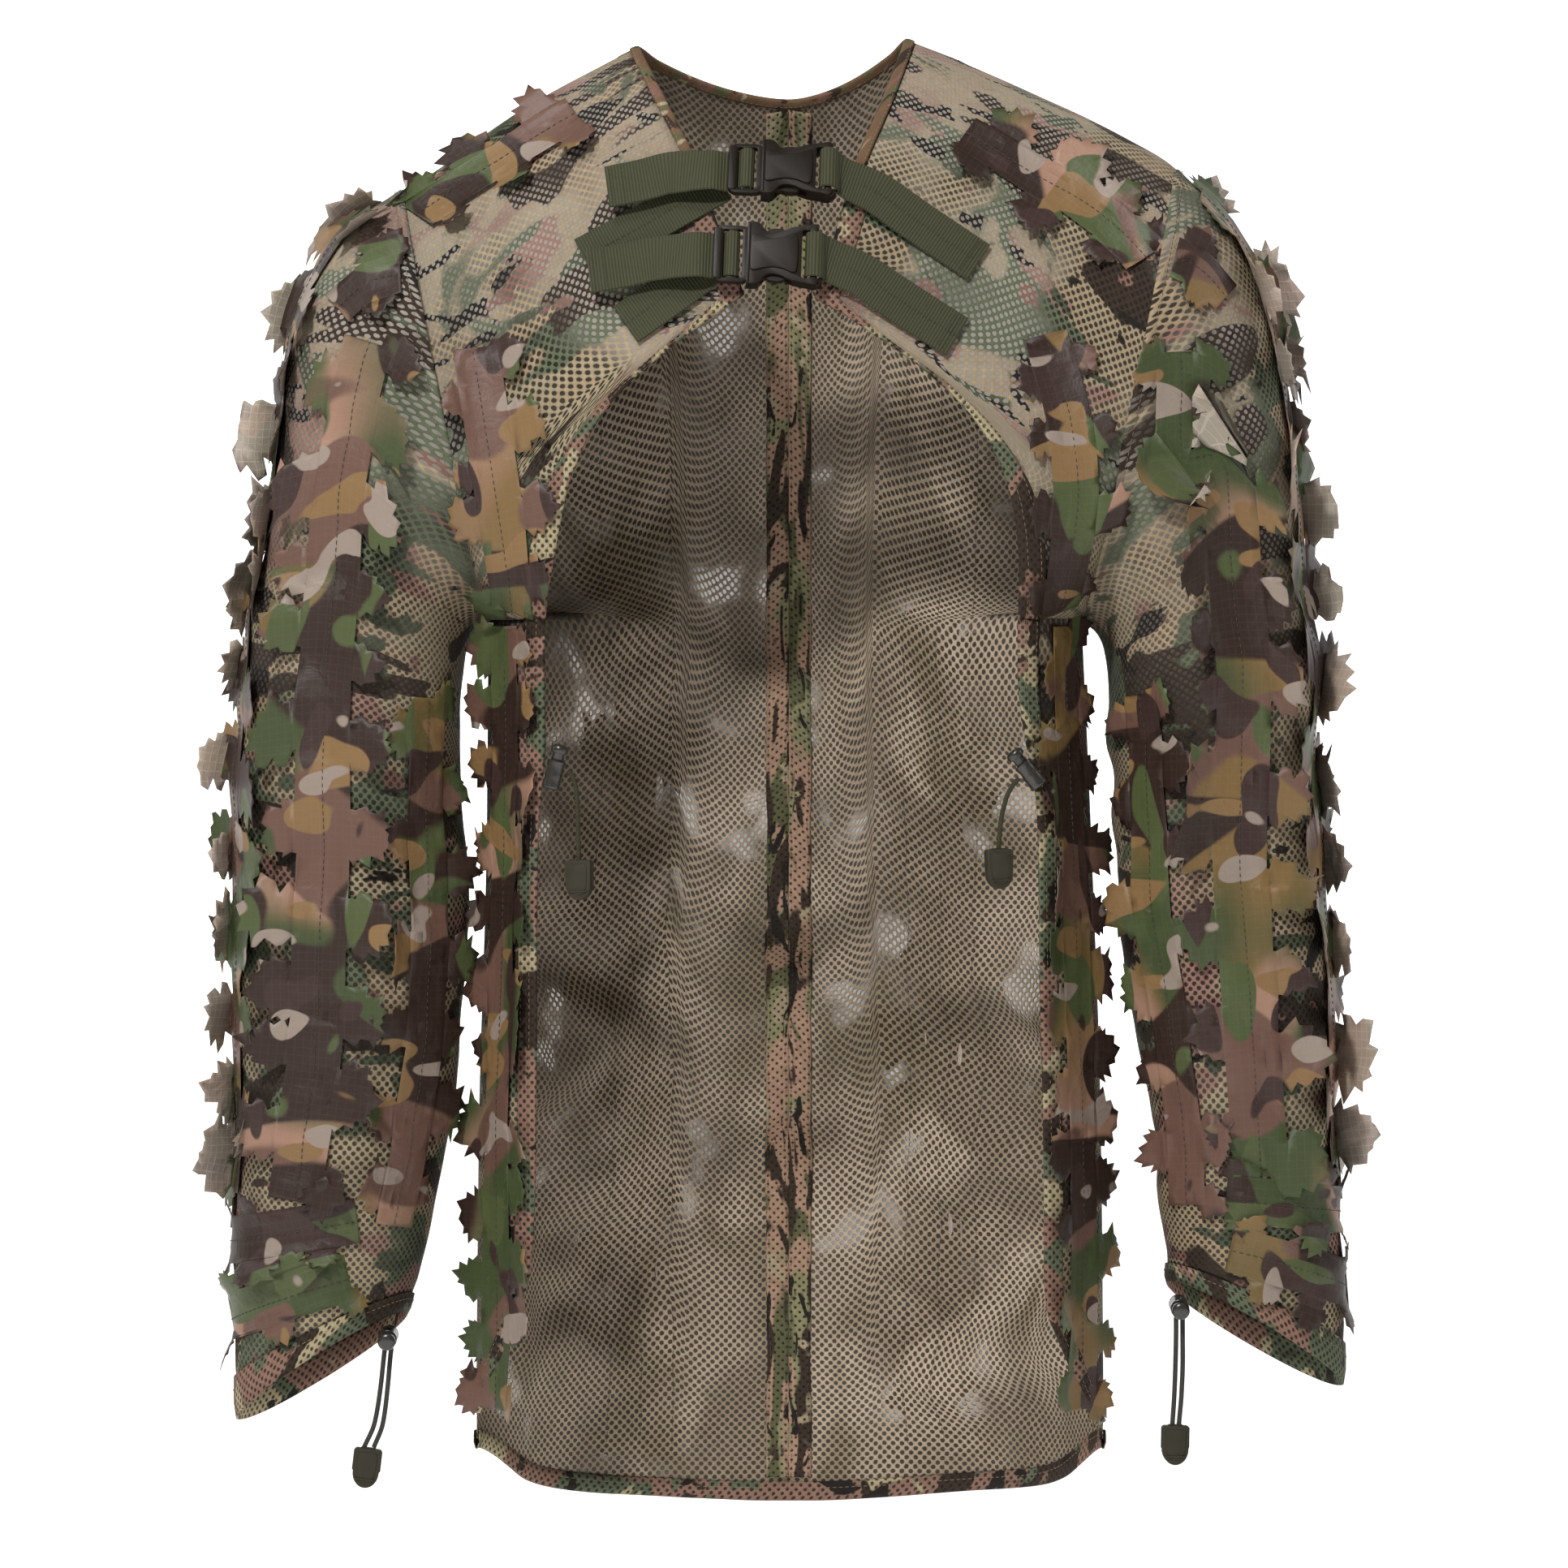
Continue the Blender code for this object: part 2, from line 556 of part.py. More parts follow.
MALE_HALF = [(-0.0170, 0), (-0.0170, 0.0110), (-0.0160, 0.0138), (-0.0135, 0.0155), (-0.0030, 0.0155), (0, 0.0150), (0, 0.0146), (0.0030, 0.0146), (0.0100, 0.0130), (0.0145, 0.0132), (0.0185, 0.0146), (0.0205, 0.0128), (0.0212, 0.0098), (0.0200, 0.0085), (0.0100, 0.0078), (0.0040, 0.0070), (0.0030, 0.0045), (0.0045, 0.0025), (0.0175, 0.0020), (0.0190, 0.0008), (0.0190, 0)]
FEMALE_HALF = [(0.0004, 0), (0.0004, 0.0150), (0.0010, 0.0168), (0.0055, 0.0168), (0.0075, 0.0152), (0.0098, 0.0124), (0.0125, 0.0112), (0.0170, 0.0116), (0.0210, 0.0134), (0.0250, 0.0148), (0.0310, 0.0158), (0.0350, 0.0166), (0.0370, 0.0150), (0.0365, 0.0100), (0.0360, 0)]
for which in ("upper", "lower"):
    place = buckle_frame(which)
    male = prism(f"{which}_buckle_male", mirrored(MALE_HALF), -MALE_T / 2, MALE_T / 2, PLASTIC, place)
    for i, (low, high) in enumerate(((-0.0120, -0.0088), (-0.0052, -0.0020))):
        cut(male, prism(f"cut_{which}_male_{i}", rounded(low, high, -0.0132, 0.0132, 0.0008), -0.01, 0.01, PLASTIC, place, helper=True))
    female = prism(f"{which}_buckle_female", mirrored(FEMALE_HALF), -BUCKLE_T / 2, BUCKLE_T / 2, PLASTIC, place)
    cut(female, prism(f"cut_{which}_female_0", rounded(-0.0050, 0.0240, -0.0151, 0.0151, 0.0010), -CAVITY_T / 2, CAVITY_T / 2, PLASTIC, place, helper=True))
    cut(female, prism(f"cut_{which}_female_1", rounded(0.0285, 0.0330, -0.0131, 0.0131, 0.0010), -0.01, 0.01, PLASTIC, place, helper=True))

    def local(x, z, which=which):
        m = buckle_frame(which)
        return m @ Vector((x, 0, z)), m.to_3x3() @ Vector((0, 0, 1))

    ends = {"upper": ((0.0976, -0.1030), (-0.0920, -0.0665), (-0.1060, -0.1005)), "lower": ((0.0860, -0.1430), (-0.1020, -0.1110), (-0.0840, -0.1360))}[which]
    (lx, lz), (tx, tz), (bx, bz) = ends
    start = local(0.0290, -0.0058)
    strap(
        f"{which}_strap_left",
        [start, local(0.0390, -0.0058)] + [on_cloth(LEFT, in_turn(start[0].x, lx, u), in_turn(start[0].z, lz, u), 0.0042 if u < 0.6 else 0.0034) for u in (0.35, 0.6, 0.8, 1.0)],
        WEBBING,
    )
    m = buckle_frame(which)
    strap(
        f"{which}_strap_tail_right",
        [local(-0.0092, -0.0027), local(-0.0175, -0.0027), local(-0.0230, -0.0012)]
        + [on_cloth(RIGHT, in_turn(m.translation.x - 0.023, tx, u), in_turn(m.translation.z, tz, u), in_turn(0.0085, 0.0078, u)) for u in (0.4, 0.7, 1.0)],
        WEBBING,
        origin=m.translation,
    )
    start = (m.translation.x - 0.0200, m.translation.z - 0.0060)
    strap(
        f"{which}_strap_base_right",
        [on_cloth(RIGHT, in_turn(start[0], bx, u), in_turn(start[1], bz, u), 0.0030) for u in (0, 0.3, 0.65, 1.0)],
        WEBBING,
    )


# ---- cord locks, cords and cord ends --------------------------------------------------------------------------
def coil(name, radius, wire, low, high, turns, mat, place, per=8, sides=4):
    """A compression spring along local Z, its wire a tube with flat ends."""
    count = int(turns * per) + 1
    points, faces = [], []
    for i in range(count):
        turn = 2 * math.pi * i / per
        z = in_turn(low + wire, high - wire, i / (count - 1))
        radial = Vector((math.cos(turn), math.sin(turn), 0))
        for j in range(sides):
            b = 2 * math.pi * j / sides
            points.append(radial * (radius + wire * math.cos(b)) + Vector((0, 0, z + wire * math.sin(b))))
    for i in range(count - 1):
        for j in range(sides):
            a, b = i * sides, (i + 1) * sides
            faces.append((a + j, a + (j + 1) % sides, b + (j + 1) % sides, b + j))
    faces.append(tuple(reversed(range(sides))))
    faces.append(tuple((count - 1) * sides + j for j in range(sides)))
    mesh = bpy.data.meshes.new(name)
    mesh.from_pydata(points, [], faces)
    bm = bmesh.new()
    bm.from_mesh(mesh)
    bmesh.ops.recalc_face_normals(bm, faces=bm.faces)
    bm.to_mesh(mesh)
    bm.free()
    obj = finish(bpy.data.objects.new(name, mesh), mat)
    obj.matrix_world = place
    return obj


def circle(r, sides=12):
    return [(r * math.cos(2 * math.pi * i / sides), r * math.sin(2 * math.pi * i / sides)) for i in range(sides)]


def cord_lock(name, bottom, axis, hole):
    """A barrel lock: local Z up the barrel from its closed end, local X along the cord's hole."""
    place = frame_at(bottom, hole, axis)
    barrel = turned(
        f"{name}_barrel",
        [(0, 0), (LOCK_R - 0.0006, 0), (LOCK_R, 0.0008), (LOCK_R - 0.0003, 0.0070), (LOCK_R, LOCK_L), (LOCK_BORE, LOCK_L), (LOCK_BORE, 0.0020), (0, 0.0020)],
        LOCK_PLASTIC,
        place,
    )
    through = Matrix.Translation((0, 0, 0.0105)) @ Matrix.Rotation(math.pi / 2, 4, "Y")
    cut(barrel, prism(f"cut_{name}_barrel", circle(0.0021), -0.01, 0.01, LOCK_PLASTIC, place @ through, helper=True))
    plunger = turned(
        f"{name}_plunger",
        [(0, 0.0068), (0.0031, 0.0068), (0.0031, 0.0190), (0.0044, 0.0192), (0.0046, 0.0215), (0.0038, 0.0228), (0.0020, 0.0234), (0, 0.0235)],
        LOCK_PLASTIC,
        place,
    )
    through = Matrix.Translation((0, 0, 0.0120)) @ Matrix.Rotation(math.pi / 2, 4, "Y")
    cut(plunger, prism(f"cut_{name}_plunger", circle(0.0019), -0.01, 0.01, LOCK_PLASTIC, place @ through, helper=True))
    coil(f"{name}_spring", 0.0024, 0.0003, 0.0023, 0.0065, 3, STEEL, place)
    return place


def cord(name, route, count=14):
    lengths = [0.0]
    for p, q in zip(route, route[1:]):
        lengths.append(lengths[-1] + (Vector(q) - Vector(p)).length)
    lines = [smooth(list(zip(lengths, [p[i] for p in route]))) for i in range(3)]
    curve = bpy.data.curves.new(name, "CURVE")
    curve.dimensions = "3D"
    spline = curve.splines.new("POLY")
    spline.points.add(count - 1)
    for point, d in zip(spline.points, spread(0, lengths[-1], count)):
        point.co = (*[line(d) for line in lines], 1)
    curve.bevel_depth, curve.bevel_resolution, curve.use_fill_caps = CORD_D / 2, 2, True
    curve.render_resolution_u = 0
    obj = bpy.data.objects.new(name, curve)
    return finish(obj, CORD)


def pull(name, top, down, face):
    """A moulded cord end: a plate with a round lower end. Local Y runs up to the cord, local Z out of its face."""
    half = [(0, 0), (PULL_W / 2 - 0.0008, 0), (PULL_W / 2, -0.0008), (PULL_W / 2 - 0.0004, -0.0125)]
    half += [((PULL_W / 2 - 0.0004) * math.cos(math.radians(b)), -0.0125 - (PULL_H - 0.0125) * math.sin(math.radians(b))) for b in (22, 45, 68)]
    outline = half + [(0, -PULL_H)] + [(-x, y) for x, y in reversed(half[1:])]
    y = -Vector(down).normalized()
    x = y.cross(Vector(face)).normalized()
    z = x.cross(y)
    m = Matrix((x, y, z)).transposed().to_4x4()
    m.translation = Vector(top)
    obj = prism(name, outline, -PULL_T / 2, PULL_T / 2, PULL_PLASTIC, m)
    bevel = obj.modifiers.new("Edge", "BEVEL")
    bevel.width, bevel.segments, bevel.limit_method, bevel.angle_limit = 0.0008, 1, "ANGLE", math.radians(50)
    return m


cord_lock("waist_lock_right", (-0.1230, -0.0775, -0.3750), (0.236, 0, 0.972), (0.972, 0, -0.236))
cord("waist_cord_right", [(-0.1142, -0.0775, -0.3658), (-0.1120, -0.0777, -0.3678), (-0.1096, -0.0775, -0.3760), (-0.1088, -0.0768, -0.3930), (-0.1084, -0.0762, -0.4112)])
pull("waist_cord_end_right", (-0.1083, -0.0762, -0.4117), (0.03, 0.0, -1), (-0.35, -1, 0))

cord_lock("waist_lock_left", (0.1294, -0.0775, -0.3737), (-0.62, 0, 0.78), (-0.78, 0, -0.62))
cord("waist_cord_left", [(0.1186, -0.0775, -0.3694), (0.1160, -0.0777, -0.3720), (0.1118, -0.0775, -0.3800), (0.1090, -0.0768, -0.3930), (0.1080, -0.0762, -0.4055)])
pull("waist_cord_end_left", (0.1080, -0.0762, -0.4060), (0.02, 0.0, -1), (0.35, -1, 0))

cord_lock("cuff_lock_right", (-0.2090, -0.0350, -0.6600), (0, -1, -0.10), (0, -0.10, 1))
for i, dx in enumerate((-0.0017, 0.0017)):
    cord(
        f"cuff_cord_{'ab'[i]}_right",
        [(-0.2090 + dx, -0.0451, -0.6665), (-0.2096 + dx, -0.0452, -0.6720), (-0.2112 + 1.1 * dx, -0.0453, -0.6880), (-0.2140 + 1.3 * dx, -0.0450, -0.7060), (-0.2190 + 1.5 * dx, -0.0447, -0.7182)],
        count=16,
    )
pull("cuff_cord_end_right", (-0.2192, -0.0447, -0.7188), (-0.12, 0.0, -1), (0.05, -1, 0))

cord_lock("cuff_lock_left", (0.2035, -0.0350, -0.6440), (0, -1, -0.10), (0, -0.10, 1))
for i, dx in enumerate((-0.0017, 0.0017)):
    cord(
        f"cuff_cord_{'ab'[i]}_left",
        [(0.2035 + dx, -0.0451, -0.6505), (0.2035 + dx, -0.0452, -0.6560), (0.2034 + 1.1 * dx, -0.0453, -0.6720), (0.2028 + 1.1 * dx, -0.0450, -0.6900), (0.2016 + dx, -0.0447, -0.7062)],
        count=16,
    )
pull("cuff_cord_end_left", (0.2015, -0.0447, -0.7068), (-0.02, 0.0, -1), (0.05, -1, 0))
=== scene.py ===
"""Looks of the leafy mesh ghillie jacket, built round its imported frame."""

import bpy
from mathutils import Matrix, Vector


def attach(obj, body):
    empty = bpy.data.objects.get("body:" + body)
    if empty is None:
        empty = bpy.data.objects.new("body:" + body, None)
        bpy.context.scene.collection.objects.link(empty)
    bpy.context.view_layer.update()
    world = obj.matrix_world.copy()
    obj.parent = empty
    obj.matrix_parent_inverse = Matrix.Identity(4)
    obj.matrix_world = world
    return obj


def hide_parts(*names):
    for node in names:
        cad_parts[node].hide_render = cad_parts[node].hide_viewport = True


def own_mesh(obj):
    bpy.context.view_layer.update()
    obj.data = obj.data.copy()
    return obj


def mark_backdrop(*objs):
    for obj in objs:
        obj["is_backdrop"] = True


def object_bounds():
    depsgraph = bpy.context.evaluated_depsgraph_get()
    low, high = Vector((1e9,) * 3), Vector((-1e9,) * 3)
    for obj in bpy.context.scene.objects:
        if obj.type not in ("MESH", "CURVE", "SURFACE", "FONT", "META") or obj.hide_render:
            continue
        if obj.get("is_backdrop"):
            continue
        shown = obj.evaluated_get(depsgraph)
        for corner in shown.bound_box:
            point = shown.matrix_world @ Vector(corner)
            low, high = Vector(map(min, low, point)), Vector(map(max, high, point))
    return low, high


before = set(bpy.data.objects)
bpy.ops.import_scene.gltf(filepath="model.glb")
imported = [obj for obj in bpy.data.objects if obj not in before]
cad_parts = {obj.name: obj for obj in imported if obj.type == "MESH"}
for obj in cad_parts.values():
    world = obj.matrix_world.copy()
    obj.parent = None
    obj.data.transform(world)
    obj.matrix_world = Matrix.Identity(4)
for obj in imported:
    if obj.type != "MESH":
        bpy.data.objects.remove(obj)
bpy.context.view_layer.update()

import math
import random
from bisect import bisect_right

import bmesh
import bpy
import numpy as np
from mathutils import Matrix, Vector
from mathutils.geometry import delaunay_2d_cdt

random.seed(7)
SCENE = bpy.context.scene

# ---- driving dimensions ----------------------------------------------------------------------
CLOTH = 0.0012  # mesh cloth, as thick as its solid
STRIP = 0.0024  # doubled edges, bindings and casings
GAP = 0.0004  # between pieces that meet
Z_ARMPIT = -0.286
ARMHOLE_DEPTH = 0.078  # half of the armhole, front to back
X_SHOULDER = 0.205  # armhole top
RIDGE_TOP = 0.040  # shoulder line carried on to the middle
TAPE = 0.0125  # each centre-back tape
FACING = 0.0120
BINDING = 0.0050
HEM_CASING = 0.0105
LEAF_OFFSET, LEAF_THICK = 0.0050, 0.0020
WEB, WEB_THICK = 0.0250, 0.0015  # strap webbing
CORD_D = 0.0025
LOCK_R, LOCK_L, LOCK_BORE, LOCK_TRAVEL = 0.0049, 0.0150, 0.0036, 0.0035
PULL_W, PULL_H, PULL_T = 0.0145, 0.0205, 0.0060
BUCKLE_T, MALE_T, CAVITY_T = 0.0084, 0.0032, 0.0040
RIGHT, LEFT = -1, 1  # the sign of x
SIDE = {RIGHT: "right", LEFT: "left"}
NEARLY = math.pi / 2 - 0.003
SEAM = 0.0013  # how far each cloth stops short of the middle of the shoulder seam


def smooth(pairs):
    """A monotone cubic through (station, value) pairs."""
    xs = np.array([p[0] for p in pairs], float)
    ys = np.array([p[1] for p in pairs], float)
    h = np.diff(xs)
    d = np.diff(ys) / h
    m = np.zeros_like(ys)
    m[0], m[-1] = d[0], d[-1]
    for i in range(1, len(xs) - 1):
        if d[i - 1] * d[i] > 0:
            a, b = 2 * h[i] + h[i - 1], h[i] + 2 * h[i - 1]
            m[i] = (a + b) / (a / d[i - 1] + b / d[i])

    stations, values, steps, slopes, last = xs.tolist(), ys.tolist(), h.tolist(), m.tolist(), len(h) - 1

    def at(x):
        x = min(max(x, stations[0]), stations[-1])
        i = min(max(bisect_right(stations, x) - 1, 0), last)
        t = (x - stations[i]) / steps[i]
        return (
            (2 * t**3 - 3 * t**2 + 1) * values[i]
            + (t**3 - 2 * t**2 + t) * steps[i] * slopes[i]
            + (3 * t**2 - 2 * t**3) * values[i + 1]
            + (t**3 - t**2) * steps[i] * slopes[i + 1]
        )

    return at


# ---- the garment's outline, as stations in metres ---------------------------------------------
RIDGE = {
    RIGHT: smooth([(0, RIDGE_TOP), (0.040, 0.033), (0.080, 0.018), (0.104, 0.006), (0.145, -0.017), (0.192, -0.050), (0.205, -0.058), (0.230, -0.074)]),
    LEFT: smooth([(0, RIDGE_TOP), (0.030, 0.035), (0.062, 0.022), (0.090, 0.011), (0.122, -0.003), (0.170, -0.026), (0.205, -0.047), (0.230, -0.066)]),
}
NECK_X = {RIGHT: 0.080, LEFT: 0.062}
WIDTH = {
    RIGHT: smooth([(-0.770, 0.166), (-0.550, 0.164), (-0.400, 0.160), (Z_ARMPIT, 0.159)]),
    LEFT: smooth([(-0.770, 0.167), (-0.550, 0.165), (-0.400, 0.160), (Z_ARMPIT, 0.155)]),
}
DEPTH = {
    -1: smooth([(-0.770, 0.104), (-0.500, 0.101), (Z_ARMPIT, 0.105)]),
    1: smooth([(-0.770, 0.112), (-0.500, 0.104), (Z_ARMPIT, 0.115)]),
}
V_EDGE = {
    RIGHT: [(0.080, 0.018), (0.066, -0.012), (0.049, -0.048), (0.036, -0.086), (0.023, -0.121)],
    LEFT: [(0.062, 0.022), (0.050, -0.012), (0.034, -0.052), (0.024, -0.088), (0.013, -0.123)],
}
V_END = {RIGHT: -0.050, LEFT: -0.054}  # where the neck binding stops and the facing starts
ARCH = {
    RIGHT: [(0.023, -0.121), (0.053, -0.141), (0.084, -0.167), (0.104, -0.195), (0.114, -0.220), (0.120, -0.250), (0.126, -0.291), (0.126, -0.354), (0.129, -0.393), (0.130, -0.471), (0.130, -0.550), (0.133, -0.616), (0.143, -0.656), (0.155, -0.684), (0.163, -0.703)],
    LEFT: [(0.013, -0.123), (0.040, -0.138), (0.063, -0.154), (0.092, -0.181), (0.109, -0.209), (0.116, -0.236), (0.118, -0.264), (0.119, -0.322), (0.123, -0.350), (0.129, -0.383), (0.130, -0.450), (0.131, -0.560), (0.133, -0.639), (0.144, -0.669), (0.156, -0.695), (0.163, -0.708)],
}
SLEEVE_OUT = {
    RIGHT: [(0.2068, -0.0585), (0.234, -0.076), (0.256, -0.112), (0.268, -0.165), (0.274, -0.225), (0.285, -0.290), (0.290, -0.390), (0.291, -0.490), (0.293, -0.580), (0.293, -0.645), (0.290, -0.706)],
    LEFT: [(0.2068, -0.0475), (0.227, -0.068), (0.247, -0.104), (0.260, -0.155), (0.266, -0.215), (0.275, -0.285), (0.280, -0.380), (0.284, -0.475), (0.289, -0.565), (0.293, -0.628), (0.291, -0.688)],
}
SLEEVE_IN = {
    RIGHT: [(0.1608, -0.2875), (0.167, -0.293), (0.171, -0.302), (0.1735, -0.316), (0.175, -0.338), (0.175, -0.370), (0.171, -0.430), (0.172, -0.500), (0.183, -0.570), (0.194, -0.618), (0.201, -0.650)],
    LEFT: [(0.1568, -0.2875), (0.163, -0.293), (0.167, -0.302), (0.169, -0.316), (0.169, -0.338), (0.170, -0.370), (0.172, -0.430), (0.184, -0.500), (0.192, -0.565), (0.196, -0.605), (0.199, -0.634)],
}
SLEEVE_DEPTH = smooth([(0, 0.078), (0.1, 0.077), (0.2, 0.073), (0.3, 0.069), (0.5, 0.061), (0.7, 0.055), (0.85, 0.050), (1, 0.045)])
SLEEVE_Y = smooth([(0, 0.0), (0.3, -0.002), (0.6, -0.010), (1, -0.022)])
CUFF_LIFT = smooth([(0, 0.0), (0.75, 0.0), (1, 0.010)])  # the front rim is higher than the back rim


def hem_z(front, s):
    return -0.7246 if front < 0 else -0.766 + 0.017 * s**2 + 0.0244 * s**14


def torso(side, front, a, t):
    """A point of the body cloth. front is -1 or 1, a runs from 0 at the middle to pi/2 at the side seam, and t from 0 at the hem through 1 at the armpit to 2 at the shoulder line."""
    s, e = math.sin(a), max(math.cos(a), 0.0) ** 0.85
    if t <= 1:
        z0 = hem_z(front, s)
        z = z0 + (Z_ARMPIT - z0) * t
        return Vector((side * s * WIDTH[side](z), front * DEPTH[front](z) * e, z))
    q = (t - 1) * math.pi / 2
    r = math.sin(q)
    x0 = WIDTH[side](Z_ARMPIT)
    x = s * (x0 + (X_SHOULDER - x0) * r * r)
    z = Z_ARMPIT + (RIDGE[side](s * X_SHOULDER) - Z_ARMPIT) * r ** (1 + s * s)
    profile = max(1 - r**2.2, 0) ** 0.85 if front < 0 else max(1 - r**3, 0) ** 0.65
    y = DEPTH[front](Z_ARMPIT) * profile * e + ARMHOLE_DEPTH * math.sin(2 * q) * (1 - e)
    return Vector((side * x, front * y, z))


def torso_at(side, front, x, z):
    """The (a, t) of a point given by its place in the front view."""
    x = abs(x)
    if z <= Z_ARMPIT:
        s = min(x / WIDTH[side](z), 1)
        z0 = hem_z(front, s)
        return math.asin(s), (z - z0) / (Z_ARMPIT - z0)
    x0 = WIDTH[side](Z_ARMPIT)
    s, r = min(x / X_SHOULDER, 1), 0.5
    for _ in range(80):
        rise = (z - Z_ARMPIT) / (RIDGE[side](s * X_SHOULDER) - Z_ARMPIT)
        r = min(max(rise, 0), 1) ** (1 / (1 + s * s))
        s = (s + min(x / (x0 + (X_SHOULDER - x0) * r * r), 1)) / 2
    return math.asin(s), 1 + math.asin(r) / (math.pi / 2)


def ridge_level(side, front, a):
    """The level where the cloth meets the shoulder seam."""
    low, high = 1.9, 2.0
    for _ in range(30):
        middle = (low + high) / 2
        if abs(torso(side, front, a, middle).y) > SEAM:
            low = middle
        else:
            high = middle
    return low


RIDGE_STEPS = np.linspace(0, math.pi / 2, 70)
RIDGE_TABLE = {(side, front): [ridge_level(side, front, a) for a in RIDGE_STEPS] for side in (RIGHT, LEFT) for front in (-1, 1)}


def ridge(side, front, a):
    return float(np.interp(a, RIDGE_STEPS, RIDGE_TABLE[side, front]))


def outward(side, front, a, t):
    a, t = min(max(a, 0.01), NEARLY - 0.02), min(max(t, 0.01), 1.98)
    da = torso(side, front, a + 0.004, t) - torso(side, front, a - 0.004, t)
    dt = torso(side, front, a, t + 0.004) - torso(side, front, a, t - 0.004)
    n = da.cross(dt).normalized()
    p = torso(side, front, a, t)
    return n if n.dot(Vector((p.x, p.y, max(p.z + 0.3, 0.0)))) > 0 else -n


def sleeve(side, k, f):
    """A point of the sleeve: k from 0 at the armhole to 1 at the cuff, f from 0 at the outer side through pi/2 at the front to pi at the inner side."""
    n = len(SLEEVE_OUT[side]) - 1
    ox, oz, ix, iz = SLEEVE_LINES[side]
    ox, oz, ix, iz = ox(k * n), oz(k * n), ix(k * n), iz(k * n)
    c, s = math.cos(f), math.sin(f)
    return Vector(
        (
            side * ((ox + ix) / 2 + (ox - ix) / 2 * c),
            SLEEVE_Y(k) - SLEEVE_DEPTH(k) * s,
            (oz + iz) / 2 + (oz - iz) / 2 * c + CUFF_LIFT(k) * s,
        )
    )


SLEEVE_LINES = {
    side: tuple(
        smooth([(i, p[axis]) for i, p in enumerate(table[side])])
        for table in (SLEEVE_OUT, SLEEVE_IN)
        for axis in (0, 1)
    )
    for side in (RIGHT, LEFT)
}


def sleeve_out(side, k, f):
    k = min(max(k, 0.01), 0.99)
    n = (sleeve(side, k, f + 0.01) - sleeve(side, k, f - 0.01)).cross(
        sleeve(side, k + 0.005, f) - sleeve(side, k - 0.005, f)
    ).normalized()
    middle = (sleeve(side, k, 0) + sleeve(side, k, math.pi)) / 2
    return n if n.dot(sleeve(side, k, f) - middle) > 0 else -n


def spread(low, high, count):
    return [low + (high - low) * i / (count - 1) for i in range(count)]


def in_turn(low, high, share):
    return low + (high - low) * share


def width_at(side, t):
    """Half the width of the body cloth at a level."""
    return abs(torso(side, 1, math.pi / 2, t).x)


def across(side, t, x):
    return math.asin(min(x / width_at(side, t), 1))


def neck_line(side, drop=0.0, out=0.0):
    """The back neck edge as a function from a to t, moved down and out from the true edge."""
    end = NECK_X[side] + out
    low, high = -0.0026 - drop, RIDGE[side](end)
    table = []
    for x in spread(0, end, 13):
        a, t = torso_at(side, 1, x, low + (high - low) * (x / end) ** 1.7)
        table.append((a + len(table) * 1e-7, t))
    line = smooth(table)
    return lambda a: min(line(a), ridge(side, 1, a)) if a < table[-1][0] else ridge(side, 1, a)


def front_edge(side):
    """The front edge as a function from t to a: down the V, then out along the arch."""
    table = {}
    for part in (V_EDGE[side], ARCH[side]):
        lengths = np.concatenate([[0], np.cumsum(np.hypot(*np.diff(np.array(part), axis=0).T))])
        xs = smooth(list(zip(lengths, [p[0] for p in part])))
        zs = smooth(list(zip(lengths, [p[1] for p in part])))
        for d in spread(0, lengths[-1], 40):
            a, t = torso_at(side, -1, xs(d), zs(d))
            table[round(t, 5)] = a
    ts = sorted(table)
    return lambda t: float(np.interp(t, ts, [table[v] for v in ts]))


EDGE = {side: front_edge(side) for side in (RIGHT, LEFT)}
T_TIP = {side: torso_at(side, -1, *ARCH[side][0])[1] for side in (RIGHT, LEFT)}
T_END = {side: torso_at(side, -1, *ARCH[side][-1])[1] for side in (RIGHT, LEFT)}
T_V = {side: torso_at(side, -1, np.interp(-V_END[side], [-p[1] for p in V_EDGE[side]], [p[0] for p in V_EDGE[side]]), V_END[side])[1] for side in (RIGHT, LEFT)}


def strip_width(side, t):
    """How wide the edge strip is along the row: the facing is cut across at a slant on the arch."""
    tip = T_TIP[side]
    if t > tip:
        return FACING
    return in_turn(0.020, FACING, min((tip - t) / 0.45, 1))


def inset(side, t, distance):
    """EDGE moved into the cloth by a distance along the row."""
    a = EDGE[side](t)
    for _ in range(24):
        step = (torso(side, -1, a + 0.002, t) - torso(side, -1, a, t)).length / 0.002
        a += distance / 24 / step
    return a


def mirrored(half):
    """An outline from its upper half, mirrored about y = 0."""
    return half + [(x, -y) for x, y in reversed(half) if abs(y) > 1e-9]


def rounded(x0, x1, y0, y1, r, steps=3):
    found = []
    for cx, cy, start in ((x1 - r, y1 - r, 0), (x0 + r, y1 - r, 90), (x0 + r, y0 + r, 180), (x1 - r, y0 + r, 270)):
        for i in range(steps + 1):
            turn = math.radians(start + 90 * i / steps)
            found.append((cx + r * math.cos(turn), cy + r * math.sin(turn)))
    return found


def frame_at(origin, x_axis, z_axis):
    """A placement with local X along x_axis and local Z as near z_axis as it can be."""
    x = Vector(x_axis).normalized()
    y = Vector(z_axis).cross(x).normalized()
    z = x.cross(y)
    m = Matrix((x, y, z)).transposed().to_4x4()
    m.translation = Vector(origin)
    return m


def circle(r, sides=12):
    return [(r * math.cos(2 * math.pi * i / sides), r * math.sin(2 * math.pi * i / sides)) for i in range(sides)]


T_CASING = {side: (HEM_CASING + 5 * GAP) / (Z_ARMPIT + 0.75) for side in (RIGHT, LEFT)}

CUFF_K = 0.966


